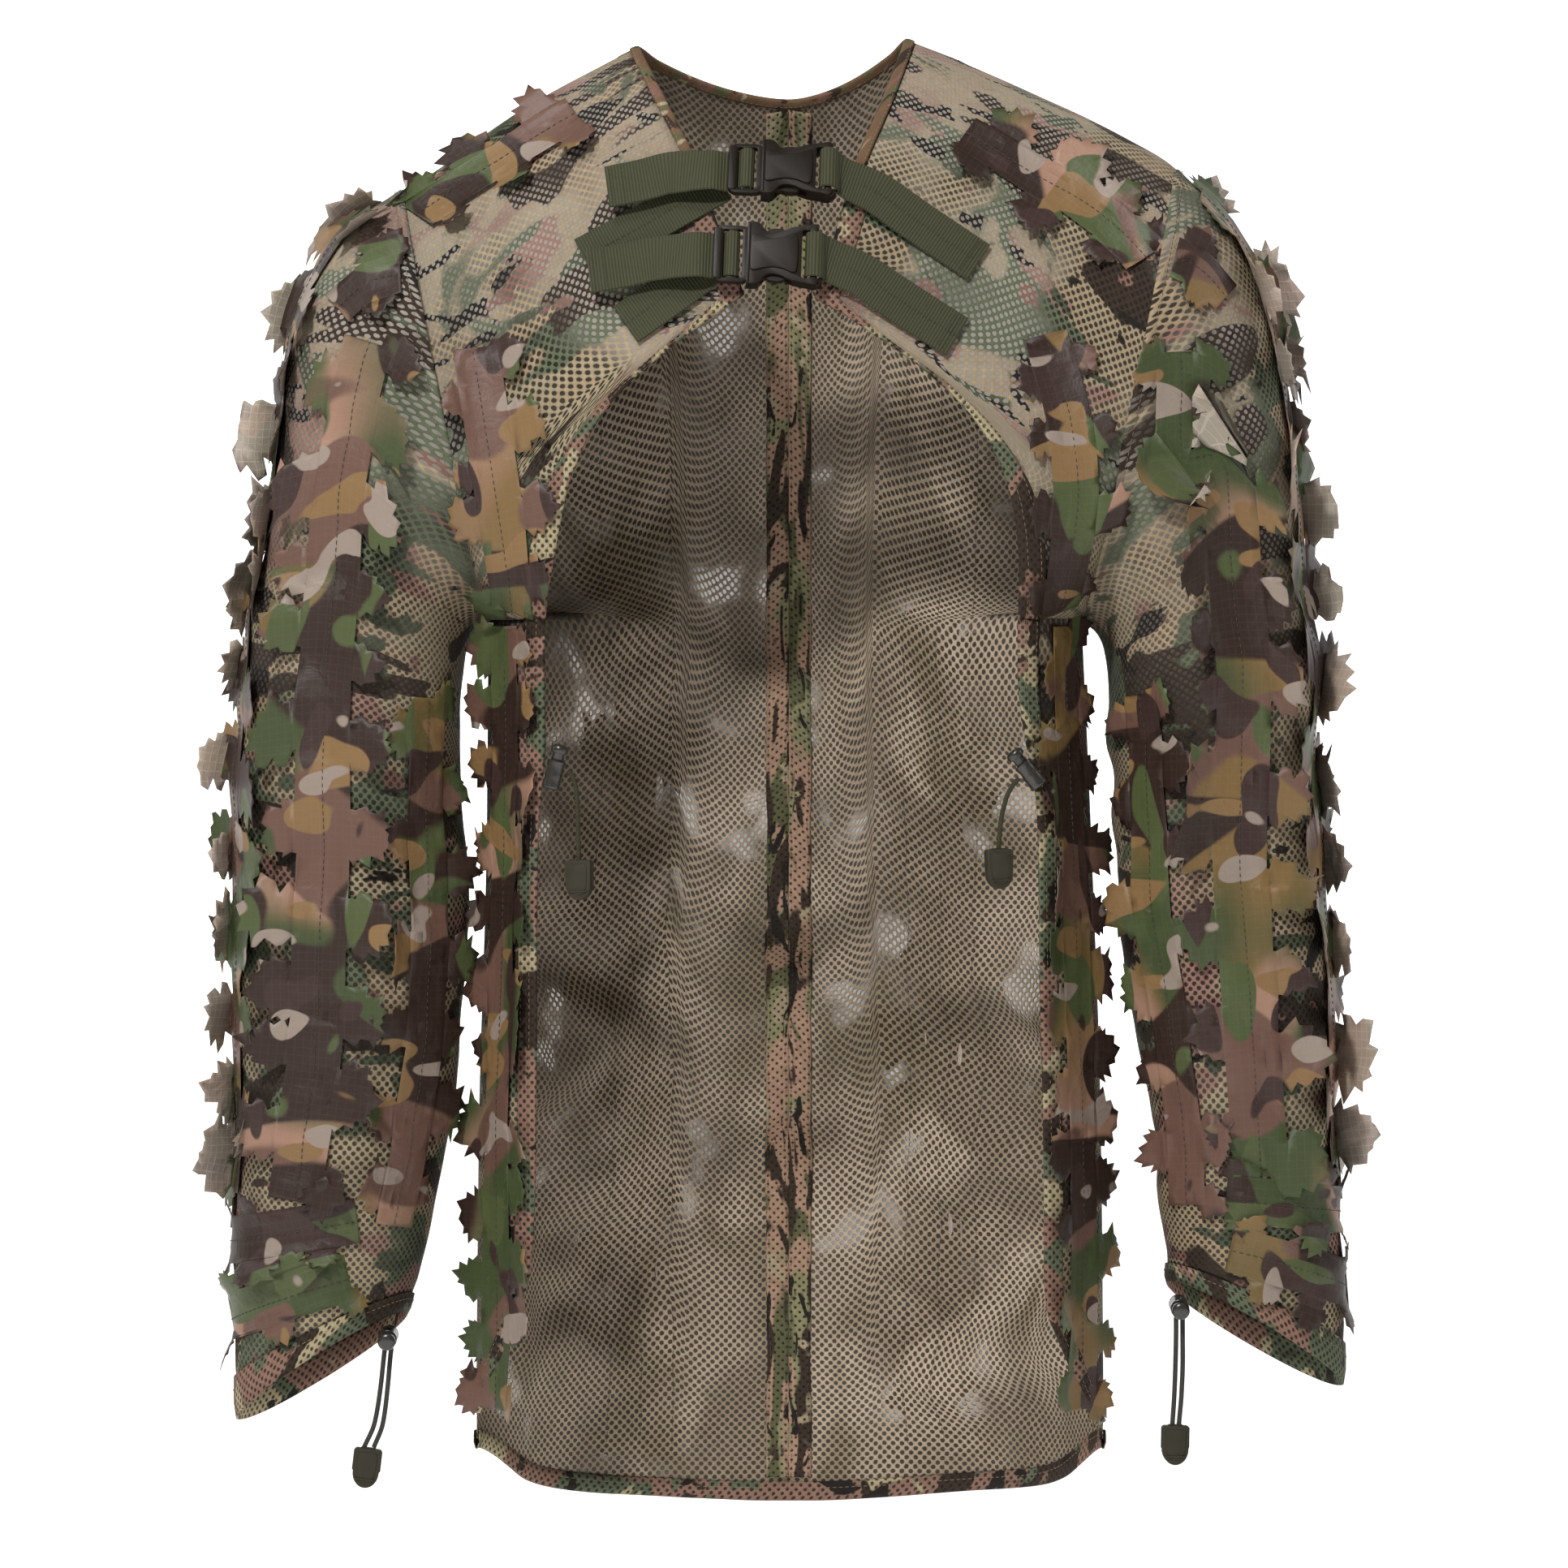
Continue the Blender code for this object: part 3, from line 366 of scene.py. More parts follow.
MALE_HALF = [(-0.0170, 0), (-0.0170, 0.0110), (-0.0160, 0.0138), (-0.0135, 0.0155), (-0.0030, 0.0155), (0, 0.0150), (0, 0.0146), (0.0030, 0.0146), (0.0100, 0.0130), (0.0145, 0.0132), (0.0185, 0.0146), (0.0205, 0.0128), (0.0212, 0.0098), (0.0200, 0.0085), (0.0100, 0.0078), (0.0040, 0.0070), (0.0030, 0.0045), (0.0045, 0.0025), (0.0175, 0.0020), (0.0190, 0.0008), (0.0190, 0)]
FEMALE_HALF = [(0.0004, 0), (0.0004, 0.0150), (0.0010, 0.0168), (0.0055, 0.0168), (0.0075, 0.0152), (0.0098, 0.0124), (0.0125, 0.0112), (0.0170, 0.0116), (0.0210, 0.0134), (0.0250, 0.0148), (0.0310, 0.0158), (0.0350, 0.0166), (0.0370, 0.0150), (0.0365, 0.0100), (0.0360, 0)]


BUCKLES = {
    "upper": {"mouth": (-0.0146, -0.0710, -0.0555), "tilt": 30, "roll": 2},
    "lower": {"mouth": (-0.0220, -0.0885, -0.1010), "tilt": 16, "roll": 2},
}


def buckle_frame(which):
    """Local X runs from the male half to the female half, local Y up the chest, local Z out of it."""
    spec = BUCKLES[which]
    tilt, roll = math.radians(spec["tilt"]), math.radians(spec["roll"])
    return frame_at(spec["mouth"], (math.cos(roll), 0, -math.sin(roll)), (0, -math.cos(tilt), math.sin(tilt)))




# ---- camera, floor and light ---------------------------------------------------------------------
LENS = 120.0
FRAME_WIDTH = 0.831
cam_data = bpy.data.cameras.new("camera")
cam_data.lens, cam_data.sensor_width = LENS, 36.0
cam_data.clip_start, cam_data.clip_end = 0.05, 60.0
camera = bpy.data.objects.new("camera", cam_data)
SCENE.collection.objects.link(camera)
camera.location = (-0.0026, -FRAME_WIDTH * LENS / 36.0, -0.3724)
camera.rotation_euler = (math.pi / 2, 0, 0)
SCENE.camera = camera
SCENE.view_settings.view_transform = "Standard"
SCENE.cycles.transparent_max_bounces = 40

world = bpy.data.worlds.new("studio")
SCENE.world = world
world.use_nodes = True
sky = world.node_tree
dim = sky.nodes["Background"]
dim.inputs["Color"].default_value = (1.0, 0.99, 0.97, 1)
dim.inputs["Strength"].default_value = 0.15


def area_light(name, place, aim, size, power, colour=(1, 1, 1)):
    data = bpy.data.lights.new(name, "AREA")
    data.shape, data.size, data.energy, data.color = "DISK", size, power, colour
    light = bpy.data.objects.new(name, data)
    SCENE.collection.objects.link(light)
    light.location = place
    light.rotation_euler = (Vector(aim) - Vector(place)).to_track_quat("-Z", "Y").to_euler()


area_light("key", (-0.7, -1.35, 2.35), (0, 0, -0.40), 0.7, 34)
area_light("key_low", (-0.75, -1.95, 1.35), (0, 0.1, -0.50), 0.25, 66)
area_light("rim_left", (2.2, 0.1, 0.9), (0, 0, -0.4), 0.9, 14)
area_light("rim_right", (-2.2, 0.1, 0.9), (0, 0, -0.4), 0.9, 12)


# ---- noise and surfaces on grids -------------------------------------------------------------------
def lattice(i, j, k, seed):
    h = (i * 374761393 + j * 668265263 + k * 1440662683 + seed * 1274126177) & 0xFFFFFFFF
    h = ((h ^ (h >> 13)) * 1274126177) & 0xFFFFFFFF
    return ((h ^ (h >> 16)) & 0xFFFF) / 32767.5 - 1.0


def noise(p, seed=0):
    """Smooth noise from -1 to 1 at an array of points."""
    p = np.asarray(p, float)
    i = np.floor(p).astype(np.int64)
    f = p - i
    f = f * f * f * (f * (f * 6 - 15) + 10)
    total = 0
    for dx in (0, 1):
        for dy in (0, 1):
            for dz in (0, 1):
                w = (f[..., 0] if dx else 1 - f[..., 0]) * (f[..., 1] if dy else 1 - f[..., 1]) * (f[..., 2] if dz else 1 - f[..., 2])
                total = total + w * lattice(i[..., 0] + dx, i[..., 1] + dy, i[..., 2] + dz, seed)
    return total


def noise1(x, seed=0):
    x = np.asarray(x, float)
    return noise(np.stack([x, np.full_like(x, 0.37), np.full_like(x, 0.71)], -1), seed)


def bump_at(x, centre, width):
    return np.exp(-(((x - centre) / width) ** 2))


def unit(v):
    return v / np.maximum(np.linalg.norm(v, axis=-1, keepdims=True), 1e-12)


def grid_normals(P, hint):
    """Unit normals of a grid of points, on the side that the hint vectors point to."""
    n = unit(np.cross(np.gradient(P, axis=1), np.gradient(P, axis=0)))
    return np.where((n * hint).sum(-1, keepdims=True) >= 0, n, -n)


class Surface:
    """A fine grid of a wrinkled surface over (u, v), read by interpolation."""

    def __init__(self, point, us, vs, hint, wrinkle):
        self.us, self.vs = us, vs
        P = np.array([[tuple(point(u, v)) for u in us] for v in vs])
        H = hint(P, us, vs)
        N = grid_normals(P, H)
        U, V = np.meshgrid(us, vs)
        P = P + N * wrinkle(P, U, V)[..., None]
        self.P, self.N = P, grid_normals(P, H)

    def at(self, u, v):
        u, v = np.broadcast_arrays(np.asarray(u, float), np.asarray(v, float))
        x = np.clip((u - self.us[0]) / (self.us[1] - self.us[0]), 0, len(self.us) - 1.000001)
        y = np.clip((v - self.vs[0]) / (self.vs[1] - self.vs[0]), 0, len(self.vs) - 1.000001)
        i, j = x.astype(int), y.astype(int)
        x, y = (x - i)[..., None], (y - j)[..., None]
        out = []
        for G in (self.P, self.N):
            out.append((G[j, i] * (1 - x) + G[j, i + 1] * x) * (1 - y) + (G[j + 1, i] * (1 - x) + G[j + 1, i + 1] * x) * y)
        return out[0], unit(out[1])


BACK_STITCH_X = 0.085


def body_wrinkle(front):
    def f(P, U, V):
        x, z = P[..., 0], P[..., 2]
        joined = np.clip((math.pi / 2 - np.abs(U)) / 0.40, 0, 1)  # front and back meet at the side seam
        joined = joined * joined * (3 - 2 * joined)
        if front > 0:
            size = 0.0135 + 0.0150 * bump_at(z, -0.52, 0.07) + 0.0165 * bump_at(z, -0.665, 0.06) + 0.0070 * bump_at(z, -0.40, 0.06)
            size = size * (0.45 + 0.55 * np.clip((-0.12 - z) / 0.12, 0, 1)) * (0.6 + 0.4 * np.clip((0.145 - np.abs(x)) / 0.05, 0, 1))
            down = P + np.stack([0 * x, 0 * x, 0.55 * np.abs(x)], -1)
            up = P - np.stack([0 * x, 0 * x, 0.45 * np.abs(x)], -1)
            folds = noise(down * (5.0, 5.0, 17.0), 3) + 0.80 * noise(up * (7.0, 7.0, 27.0) + 5, 4) + 0.22 * noise(down * (14.0, 14.0, 55.0) + 9, 7)
            near = 0.7 * np.exp(-(((np.abs(x) - BACK_STITCH_X) / 0.010) ** 2)) + np.exp(-((x / 0.018) ** 2))
            pucker = near * (0.0009 * noise(P * (14.0, 14.0, 150.0), 5) - 0.0003)
            top = np.clip((-0.04 - z) / 0.05, 0, 1)
            return (size * (folds - 0.12) + 0.0015 * noise(P * 9.0, 6) + pucker) * top * joined
        size = 0.0016 + 0.0014 * bump_at(z, -0.30, 0.10)
        top = np.clip((-0.01 - z) / 0.05, 0, 1)
        return (size * (noise(P * (16.0, 16.0, 9.0), 8) + 0.5 * noise(P * (34.0, 34.0, 20.0), 9))) * top * joined

    return f


def sleeve_wrinkle(P, U, V):
    k = V
    size = 0.0018 + 0.0030 * bump_at(k, 0.50, 0.16) + 0.0022 * bump_at(k, 0.86, 0.10)
    folds = noise(P * (9.0, 9.0, 22.0), 11) + 0.5 * noise(P * (20.0, 20.0, 46.0), 12)
    f = np.angle(np.exp(1j * U))
    pucker = sum(np.exp(-(((f - at) / 0.20) ** 2)) for at in (1.38, 0.0))
    pucker = pucker * (0.0014 * noise(P * (12.0, 12.0, 130.0), 13) - 0.0012)
    ends = np.clip(k / 0.06, 0, 1) * np.clip((1 - k) / 0.06, 0, 1)
    return (size * folds + pucker) * ends


def torso_hint(P, us, vs):
    return np.stack([P[..., 0], P[..., 1], np.maximum(P[..., 2] + 0.3, 0)], -1)


def sleeve_hint(P, us, vs):
    i, j = int(np.argmin(np.abs(us))), int(np.argmin(np.abs(us - math.pi)))
    return P - ((P[:, i] + P[:, j]) / 2)[:, None, :]


TORSO = {
    (side, front): Surface(
        lambda a, t, side=side, front=front: torso(side, front, a, t),
        np.linspace(0, NEARLY, 76),
        np.linspace(0, 2, 241),
        torso_hint,
        body_wrinkle(front),
    )
    for side in (RIGHT, LEFT)
    for front in (-1, 1)
}
SLEEVE = {
    side: Surface(
        lambda f, k, side=side: sleeve(side, k, f),
        np.linspace(-2 * math.pi, 2 * math.pi, 193),
        np.linspace(0, 1, 161),
        sleeve_hint,
        sleeve_wrinkle,
    )
    for side in (RIGHT, LEFT)
}


# ---- meshes --------------------------------------------------------------------------------------------
def new_mesh(name, points, faces, uvs=None, materials=(), face_material=None, smooth_faces=True):
    mesh = bpy.data.meshes.new(name)
    mesh.from_pydata([tuple(map(float, p)) for p in points], [], faces)
    if uvs is not None:
        layer = mesh.uv_layers.new(name="UVMap")
        loops = np.zeros(len(mesh.loops), np.int32)
        mesh.loops.foreach_get("vertex_index", loops)
        layer.data.foreach_set("uv", np.asarray(uvs, np.float32)[loops].ravel())
    for m in materials:
        mesh.materials.append(m)
    if face_material is not None:
        mesh.polygons.foreach_set("material_index", np.asarray(face_material, np.int32))
    mesh.polygons.foreach_set("use_smooth", np.full(len(mesh.polygons), smooth_faces))
    mesh.update()
    obj = bpy.data.objects.new(name, mesh)
    SCENE.collection.objects.link(obj)
    return obj


def area_of(obj):
    return float(sum(p.area for p in obj.data.polygons))


def arc(P, axis):
    """Lengths along an axis of a grid of points."""
    step = np.linalg.norm(np.diff(P, axis=axis), axis=-1)
    shape = list(P.shape[:2])
    shape[axis] = 1
    return np.concatenate([np.zeros(shape), np.cumsum(step, axis=axis)], axis=axis)


def calm(P, size=14):
    """A grid of points with its fine wrinkles smoothed away."""
    for axis in (0, 1):
        n = min(size, (P.shape[axis] - 1) // 2)
        pad = [(n, n) if i == axis else (0, 0) for i in range(3)]
        total = np.cumsum(np.pad(P, pad, mode="reflect", reflect_type="odd"), axis=axis)
        total = np.concatenate([np.zeros_like(np.take(total, [0], axis)), total], axis=axis)
        count = P.shape[axis]
        P = (np.take(total, range(2 * n + 1, 2 * n + 1 + count), axis) - np.take(total, range(0, count), axis)) / (2 * n + 1)
    return P


UV_SHIFT = [0]


def grid_cloth(name, P, N, materials, thickness, closed=False, uv=None, offset=-1.0):
    """A cloth through a grid of points, its outer face on the side of N, with UVs in metres."""
    P, N = np.asarray(P), np.asarray(N)
    rows, cols = P.shape[:2]
    if uv is None:
        u, v = arc(P, 1), arc(P, 0)
        u = u - u[:, cols // 2 : cols // 2 + 1]
        uv = np.stack([u, v], -1)
    UV_SHIFT[0] += 1
    shift = np.array([0.0047 * 60 * UV_SHIFT[0], 0.0049 * 37 * UV_SHIFT[0]])
    flat = np.asarray(uv) + shift
    m = cols - 1
    idx = np.arange(rows * cols).reshape(rows, cols)
    a, b, c, d = idx[:-1, :-1], idx[:-1, 1:], idx[1:, 1:], idx[1:, :-1]
    faces = np.stack([a, b, c, d], -1).reshape(-1, 4)
    i, j = rows // 2, m // 2
    n = np.cross(P[i, j + 1] - P[i, j], P[i + 1, j] - P[i, j]) if i + 1 < rows else np.cross(P[i, j + 1] - P[i, j], P[i, j] - P[i - 1, j])
    if (n * N[i, j]).sum() < 0:
        faces = faces[:, ::-1]
    obj = new_mesh(name, P.reshape(-1, 3), faces.tolist(), flat.reshape(-1, 2), materials)
    if closed:  # the seam's two columns are one line of points
        bm = bmesh.new()
        bm.from_mesh(obj.data)
        bmesh.ops.remove_doubles(bm, verts=bm.verts, dist=1e-6)
        bm.to_mesh(obj.data)
        bm.free()
    if thickness:
        s = obj.modifiers.new("Thickness", "SOLIDIFY")
        s.thickness, s.offset = thickness, offset
        if len(materials) > 1:
            s.material_offset = 1
    return obj


def hang(obj, node=None, flat=None, body="root"):
    """Rides, stands for its CAD node, and is declared as a sheet."""
    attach(obj, body)
    if node:
        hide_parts(*([node] if isinstance(node, str) else node))
    if flat:
        area = area_of(obj)
        w, l = flat
        area = min(max(area, 0.3 * w * l), w * l)
        SHEETS.append((obj.name, round(w, 4), round(l, 4), round(area, 5)))
    return obj


SHEETS = []


# ---- materials --------------------------------------------------------------------------------------------
def rgb(code):
    """A linear colour from a #rrggbb one."""
    values = [int(code[i : i + 2], 16) / 255 for i in (1, 3, 5)]
    return tuple(v / 12.92 if v <= 0.04045 else ((v + 0.055) / 1.055) ** 2.4 for v in values)


class Tree:
    """Short ways to build a material's nodes."""

    def __init__(self, name):
        self.m = bpy.data.materials.new(name)
        self.m.use_nodes = True
        self.t = self.m.node_tree
        self.out = self.t.nodes["Principled BSDF"]

    def put(self, socket, value):
        if isinstance(value, bpy.types.NodeSocket):
            self.t.links.new(value, socket)
        elif isinstance(value, tuple) and len(value) == 3 and socket.type == "RGBA":
            socket.default_value = (*value, 1)
        else:
            socket.default_value = value

    def node(self, kind, inputs=None, **settings):
        n = self.t.nodes.new("ShaderNode" + kind)
        for key, value in settings.items():
            setattr(n, key, value)
        for key, value in (inputs or {}).items():
            self.put(n.inputs[key], value)
        return n

    def math(self, operation, a, b=0.0, c=0.0, clamp=False):
        return self.node("Math", {0: a, 1: b, 2: c}, operation=operation, use_clamp=clamp).outputs[0]

    def vec(self, operation, a, b=(0, 0, 0)):
        n = self.node("VectorMath", {0: a}, operation=operation)
        if operation == "SCALE":
            self.put(n.inputs["Scale"], b)
        elif len(n.inputs) > 1:
            self.put(n.inputs[1], b)
        return n.outputs["Value" if operation in ("LENGTH", "DOT_PRODUCT", "DISTANCE") else "Vector"]

    def mix(self, share, a, b, blend="MIX"):
        n = self.node("Mix", data_type="RGBA", blend_type=blend)
        self.put(n.inputs["Factor"], share)
        self.put(n.inputs["A"], a)
        self.put(n.inputs["B"], b)
        return n.outputs["Result"]

    def step(self, value, low, high):
        n = self.node("MapRange", {"Value": value, "From Min": low, "From Max": high}, interpolation_type="SMOOTHSTEP")
        return n.outputs["Result"]

    def noise(self, vector, scale, detail=2.0, rough=0.5, distortion=0.0):
        return self.node("TexNoise", {"Vector": vector, "Scale": scale, "Detail": detail, "Roughness": rough, "Distortion": distortion}).outputs[0]

    def shift(self, vector, scale=(1, 1, 1), move=(0, 0, 0), turn=0.0):
        return self.node("Mapping", {"Vector": vector, "Scale": scale, "Location": move, "Rotation": (0, 0, turn)}).outputs[0]

    def uv(self):
        return self.node("UVMap").outputs["UV"]

    def finish(self, **inputs):
        for key, value in inputs.items():
            self.put(self.out.inputs[key.replace("_", " ")], value)
        return self.m


def camo(t, uv, base, layers, detail=True, octaves=3.0):
    """A printed pattern: each layer is (colour, features per metre, (stretch u, stretch v), level, softness, distortion, turn)."""
    colour = base
    for i, (paint, scale, stretch, level, soft, distortion, turn) in enumerate(layers):
        moved = t.shift(uv, (stretch[0], stretch[1], 1), (i * 3.17, i * 1.93, 0), turn)
        fac = t.noise(moved, scale, octaves, 0.55 if octaves > 1.5 else 0.3, distortion)
        colour = t.mix(t.step(fac, level - soft, level + soft), colour, paint)
    if detail:
        speck = t.noise(uv, 240.0, 2.0, 0.6)
        colour = t.mix(0.55, colour, t.mix(speck, (0.25, 0.25, 0.25), (0.78, 0.78, 0.78)), "OVERLAY")
    return colour


PITCH_U, PITCH_V, HOLE = 0.0047, 0.0049, 0.00115


def hole_alpha(t, uv, radius=HOLE):
    """1 on the cloth and 0 in its staggered round holes, and the distance to the nearest hole's middle."""
    found = None
    grid = t.shift(uv, (1 / PITCH_U, 1 / PITCH_V, 0))
    for move in (0.0, 0.5):
        cell = t.vec("FRACTION", t.vec("ADD", grid, (move, move, 0)))
        away = t.vec("MULTIPLY", t.vec("SUBTRACT", cell, (0.5, 0.5, 0)), (PITCH_U, PITCH_V, 0))
        d = t.vec("LENGTH", away)
        found = d if found is None else t.math("MINIMUM", found, d)
    wobble = t.math("MULTIPLY_ADD", t.noise(uv, 700.0, 1.0), 0.0007, -0.00035)
    d = t.math("ADD", found, wobble)
    return t.step(d, radius - 0.00012, radius + 0.00012), d


TAN, KHAKI, OLIVE, SAGE = rgb("#887b63"), rgb("#8f7f66"), rgb("#4a4a31"), rgb("#6f6c4f")
DARK, MAUVE, PINKISH, BLACK = rgb("#2b2017"), rgb("#64493d"), rgb("#82614f"), rgb("#15100b")
FOREST, OCHRE, PLUM, TAUPE = rgb("#353b22"), rgb("#6b4c2b"), rgb("#2c1e16"), rgb("#94826f")


def mesh_cloth(name, base, layers, radius=HOLE, pale=0.0, rough=0.85, hole_shade_fill=0.5, patchy=0.45, octaves=2.0, hole_painted_light=0.0, spots=(0.50, 0.66)):
    t = Tree(name)
    uv = t.uv()
    colour = camo(t, uv, base, layers, octaves=octaves)
    if pale:
        colour = t.mix(pale, colour, rgb("#c0ae92"))
    alpha, d = hole_alpha(t, uv, radius)
    rim = t.step(d, radius, radius + 0.0008)
    # painted shade: the cloth darkens within about a millimetre of each hole's edge, where it dips into the hole
    colour = t.mix(t.math("MULTIPLY_ADD", rim, -0.32, 0.32), colour, t.mix(0.5, colour, BLACK))
    # painted shade: the holes are made mostly opaque and given a near-black colour, standing in for the dark seen
    # through them
    hole_painted_shade_and_light = t.mix(0.88, colour, rgb("#150f08"))
    # painted light: a pale hole colour standing in for lit cloth seen through the holes, in noise patches and stronger
    # towards the top
    if hole_painted_light:  # lit cloth seen through the holes
        place = t.node("NewGeometry").outputs["Position"]
        upper = t.step(t.node("SeparateXYZ", {0: place}).outputs[2], -0.34, -0.14)
        lit = t.math("MULTIPLY", t.step(t.noise(place, 11.0, 2.0, 0.5), 0.36, 0.52), t.math("MULTIPLY_ADD", upper, 0.75, 0.10))
        hole_painted_shade_and_light = t.mix(t.math("MULTIPLY", lit, hole_painted_light), hole_painted_shade_and_light, rgb("#a59d93"))
    # in noise patches the painted shade in the holes is thinned out, so some holes stay open
    patch = t.step(t.noise(uv, 22.0, 2.0, 0.5), *spots)
    share = t.math("MULTIPLY_ADD", patch, -patchy * hole_shade_fill, hole_shade_fill)
    colour = t.mix(alpha, hole_painted_shade_and_light, colour)
    alpha = t.math("MAXIMUM", alpha, share)
    knit = t.node("TexWave", {"Vector": t.shift(uv, (1, 1, 1), (0, 0, 0), 0.78), "Scale": 420.0, "Distortion": 2.0, "Detail": 1.0}).outputs["Fac"]
    height = t.math("ADD", t.math("MULTIPLY", rim, 0.7), t.math("MULTIPLY", knit, 0.3))
    bump = t.node("Bump", {"Strength": 0.5, "Distance": 0.0004, "Height": height}).outputs["Normal"]
    return t.finish(Base_Color=colour, Roughness=rough, Alpha=alpha, Normal=bump, Specular_IOR_Level=0.25)


OUTER_LAYERS = [
    (rgb("#7a5d52"), 10.0, (0.9, 1.1), 0.54, 0.010, 0.8, 0.3),
    (rgb("#88775f"), 12.0, (0.8, 1.2), 0.54, 0.05, 0.6, -0.5),
    (rgb("#4d5440"), 12.0, (0.8, 1.3), 0.555, 0.010, 0.8, 0.6),
    (TAN, 15.0, (0.9, 1.2), 0.58, 0.02, 0.6, 1.1),
    (DARK, 13.0, (0.7, 1.4), 0.565, 0.008, 1.0, 0.45),
    (rgb("#3e4433"), 26.0, (0.8, 1.3), 0.63, 0.010, 0.7, -0.3),
    (BLACK, 30.0, (0.7, 1.4), 0.64, 0.010, 0.8, 0.5),
    (rgb("#6d4f45"), 30.0, (0.8, 1.3), 0.66, 0.010, 0.4, 0.1),
]
# its holes carry painted shade and, higher up, painted light
MESH_OUT = mesh_cloth("mesh_print", rgb("#82745d"), OUTER_LAYERS, hole_shade_fill=0.84, patchy=0.45, hole_painted_light=0.75)
MESH_IN = mesh_cloth(
    "mesh_reverse",
    rgb("#938471"),
    [(rgb("#7c6e5c"), 9.0, (1.0, 0.9), 0.50, 0.10, 0.4, 0.3), (rgb("#a1917d"), 12.0, (1, 1), 0.55, 0.08, 0.4, -0.5), (rgb("#756853"), 13.0, (1.2, 0.8), 0.58, 0.09, 0.4, 0.6)],
    radius=0.0012,
    hole_shade_fill=0.955,
    patchy=0.34,
    spots=(0.60, 0.68),
)
EDGE_LAYERS = [(rgb("#4c5340"), 22.0, (1, 1), 0.52, 0.010, 0.6, 0.2), (rgb("#8f8468"), 24.0, (1, 1), 0.58, 0.010, 0.6, 0.5), (DARK, 24.0, (1, 1), 0.575, 0.010, 0.8, 0.9), (BLACK, 40.0, (1, 1), 0.64, 0.010, 0.6, 0.1)]
EDGE_OUT = mesh_cloth("edge_print", rgb("#74594c"), EDGE_LAYERS, radius=0.00095, hole_shade_fill=0.97, patchy=0.03)
TAPE_OUT = mesh_cloth("tape_print", rgb("#8a6f5c"), [(SAGE, 20.0, (1.4, 0.6), 0.55, 0.03, 1.0, 0.1), (OLIVE, 24.0, (1.6, 0.5), 0.56, 0.02, 1.2, 0.2), (DARK, 22.0, (2.0, 0.5), 0.56, 0.02, 1.5, -0.1), (BLACK, 40.0, (2.0, 0.5), 0.61, 0.02, 1.4, 0.1), (TAN, 34.0, (1.2, 0.8), 0.63, 0.02, 0.5, 0.0)], radius=0.00072, hole_shade_fill=0.9, patchy=0.1)

LEAF_LAYERS = [
    (rgb("#66502f"), 9.0, (1.0, 0.8), 0.50, 0.05, 0.3, 0.0),
    (rgb("#343d22"), 10.0, (0.9, 1.1), 0.50, 0.06, 0.4, -0.4),
    (rgb("#573f35"), 12.0, (1.1, 0.8), 0.55, 0.010, 0.4, 1.3),
    (rgb("#281a14"), 11.0, (1.1, 0.7), 0.525, 0.008, 0.5, 0.2),
    (rgb("#3f4729"), 22.0, (0.7, 1.2), 0.62, 0.009, 0.3, 0.9),
    (rgb("#6e5536"), 27.0, (1.3, 0.7), 0.645, 0.008, 0.2, 0.4),
    (rgb("#30211d"), 30.0, (0.7, 1.2), 0.625, 0.007, 0.2, 0.9),
    (rgb("#7c6f65"), 30.0, (1.2, 0.8), 0.665, 0.007, 0.2, 0.5),
]


def ripstop(name, base, layers, pale=0.0, grid_share=0.10):
    t = Tree(name)
    uv = t.uv()
    colour = camo(t, uv, base, layers, detail=False, octaves=1.0)
    if pale:
        colour = t.mix(pale, colour, rgb("#a3968a"))
    grid = None
    for axis in (0, 1):
        scale = (1 / 0.0042, 0, 0) if axis == 0 else (0, 1 / 0.0042, 0)
        cell = t.vec("FRACTION", t.vec("MULTIPLY", uv, scale))
        value = t.node("SeparateXYZ", {0: cell}).outputs[axis]
        line = t.math("SUBTRACT", 1.0, t.step(t.math("ABSOLUTE", t.math("SUBTRACT", value, 0.5)), 0.03, 0.09))
        grid = line if grid is None else t.math("MAXIMUM", grid, line)
    colour = t.mix(t.math("MULTIPLY", grid, grid_share), colour, rgb("#d8ccc0"))
    crinkle = t.noise(uv, 95.0, 3.0, 0.6, 0.6)
    height = t.math("ADD", t.math("MULTIPLY", grid, min(grid_share, 0.12)), crinkle)
    bump = t.node("Bump", {"Strength": 0.45, "Distance": 0.0016, "Height": height}).outputs["Normal"]
    return t.finish(Base_Color=colour, Roughness=0.50, Normal=bump, Specular_IOR_Level=0.26)


LEAF_OUT = ripstop("leaf_print", rgb("#856655"), LEAF_LAYERS, grid_share=0.010)
LEAF_IN = ripstop("leaf_reverse", rgb("#8a6a59"), LEAF_LAYERS, pale=0.60, grid_share=0.16)


def plain(name, colour, roughness, grain=400.0, depth=0.0002, metallic=0.0, other=None, specular=0.5):
    t = Tree(name)
    p = t.node("NewGeometry").outputs["Position"]
    fine = t.noise(p, grain, 3.0, 0.6)
    wide = t.noise(p, grain / 9, 2.0, 0.5)
    shade = t.mix(wide, colour, other or tuple(min(c * 1.35 + 0.004, 1) for c in colour))
    rough = t.math("MULTIPLY_ADD", fine, 0.16, roughness - 0.08)
    bump = t.node("Bump", {"Strength": 0.35, "Distance": depth, "Height": fine}).outputs["Normal"]
    return t.finish(Base_Color=shade, Roughness=rough, Normal=bump, Metallic=metallic, Specular_IOR_Level=specular)


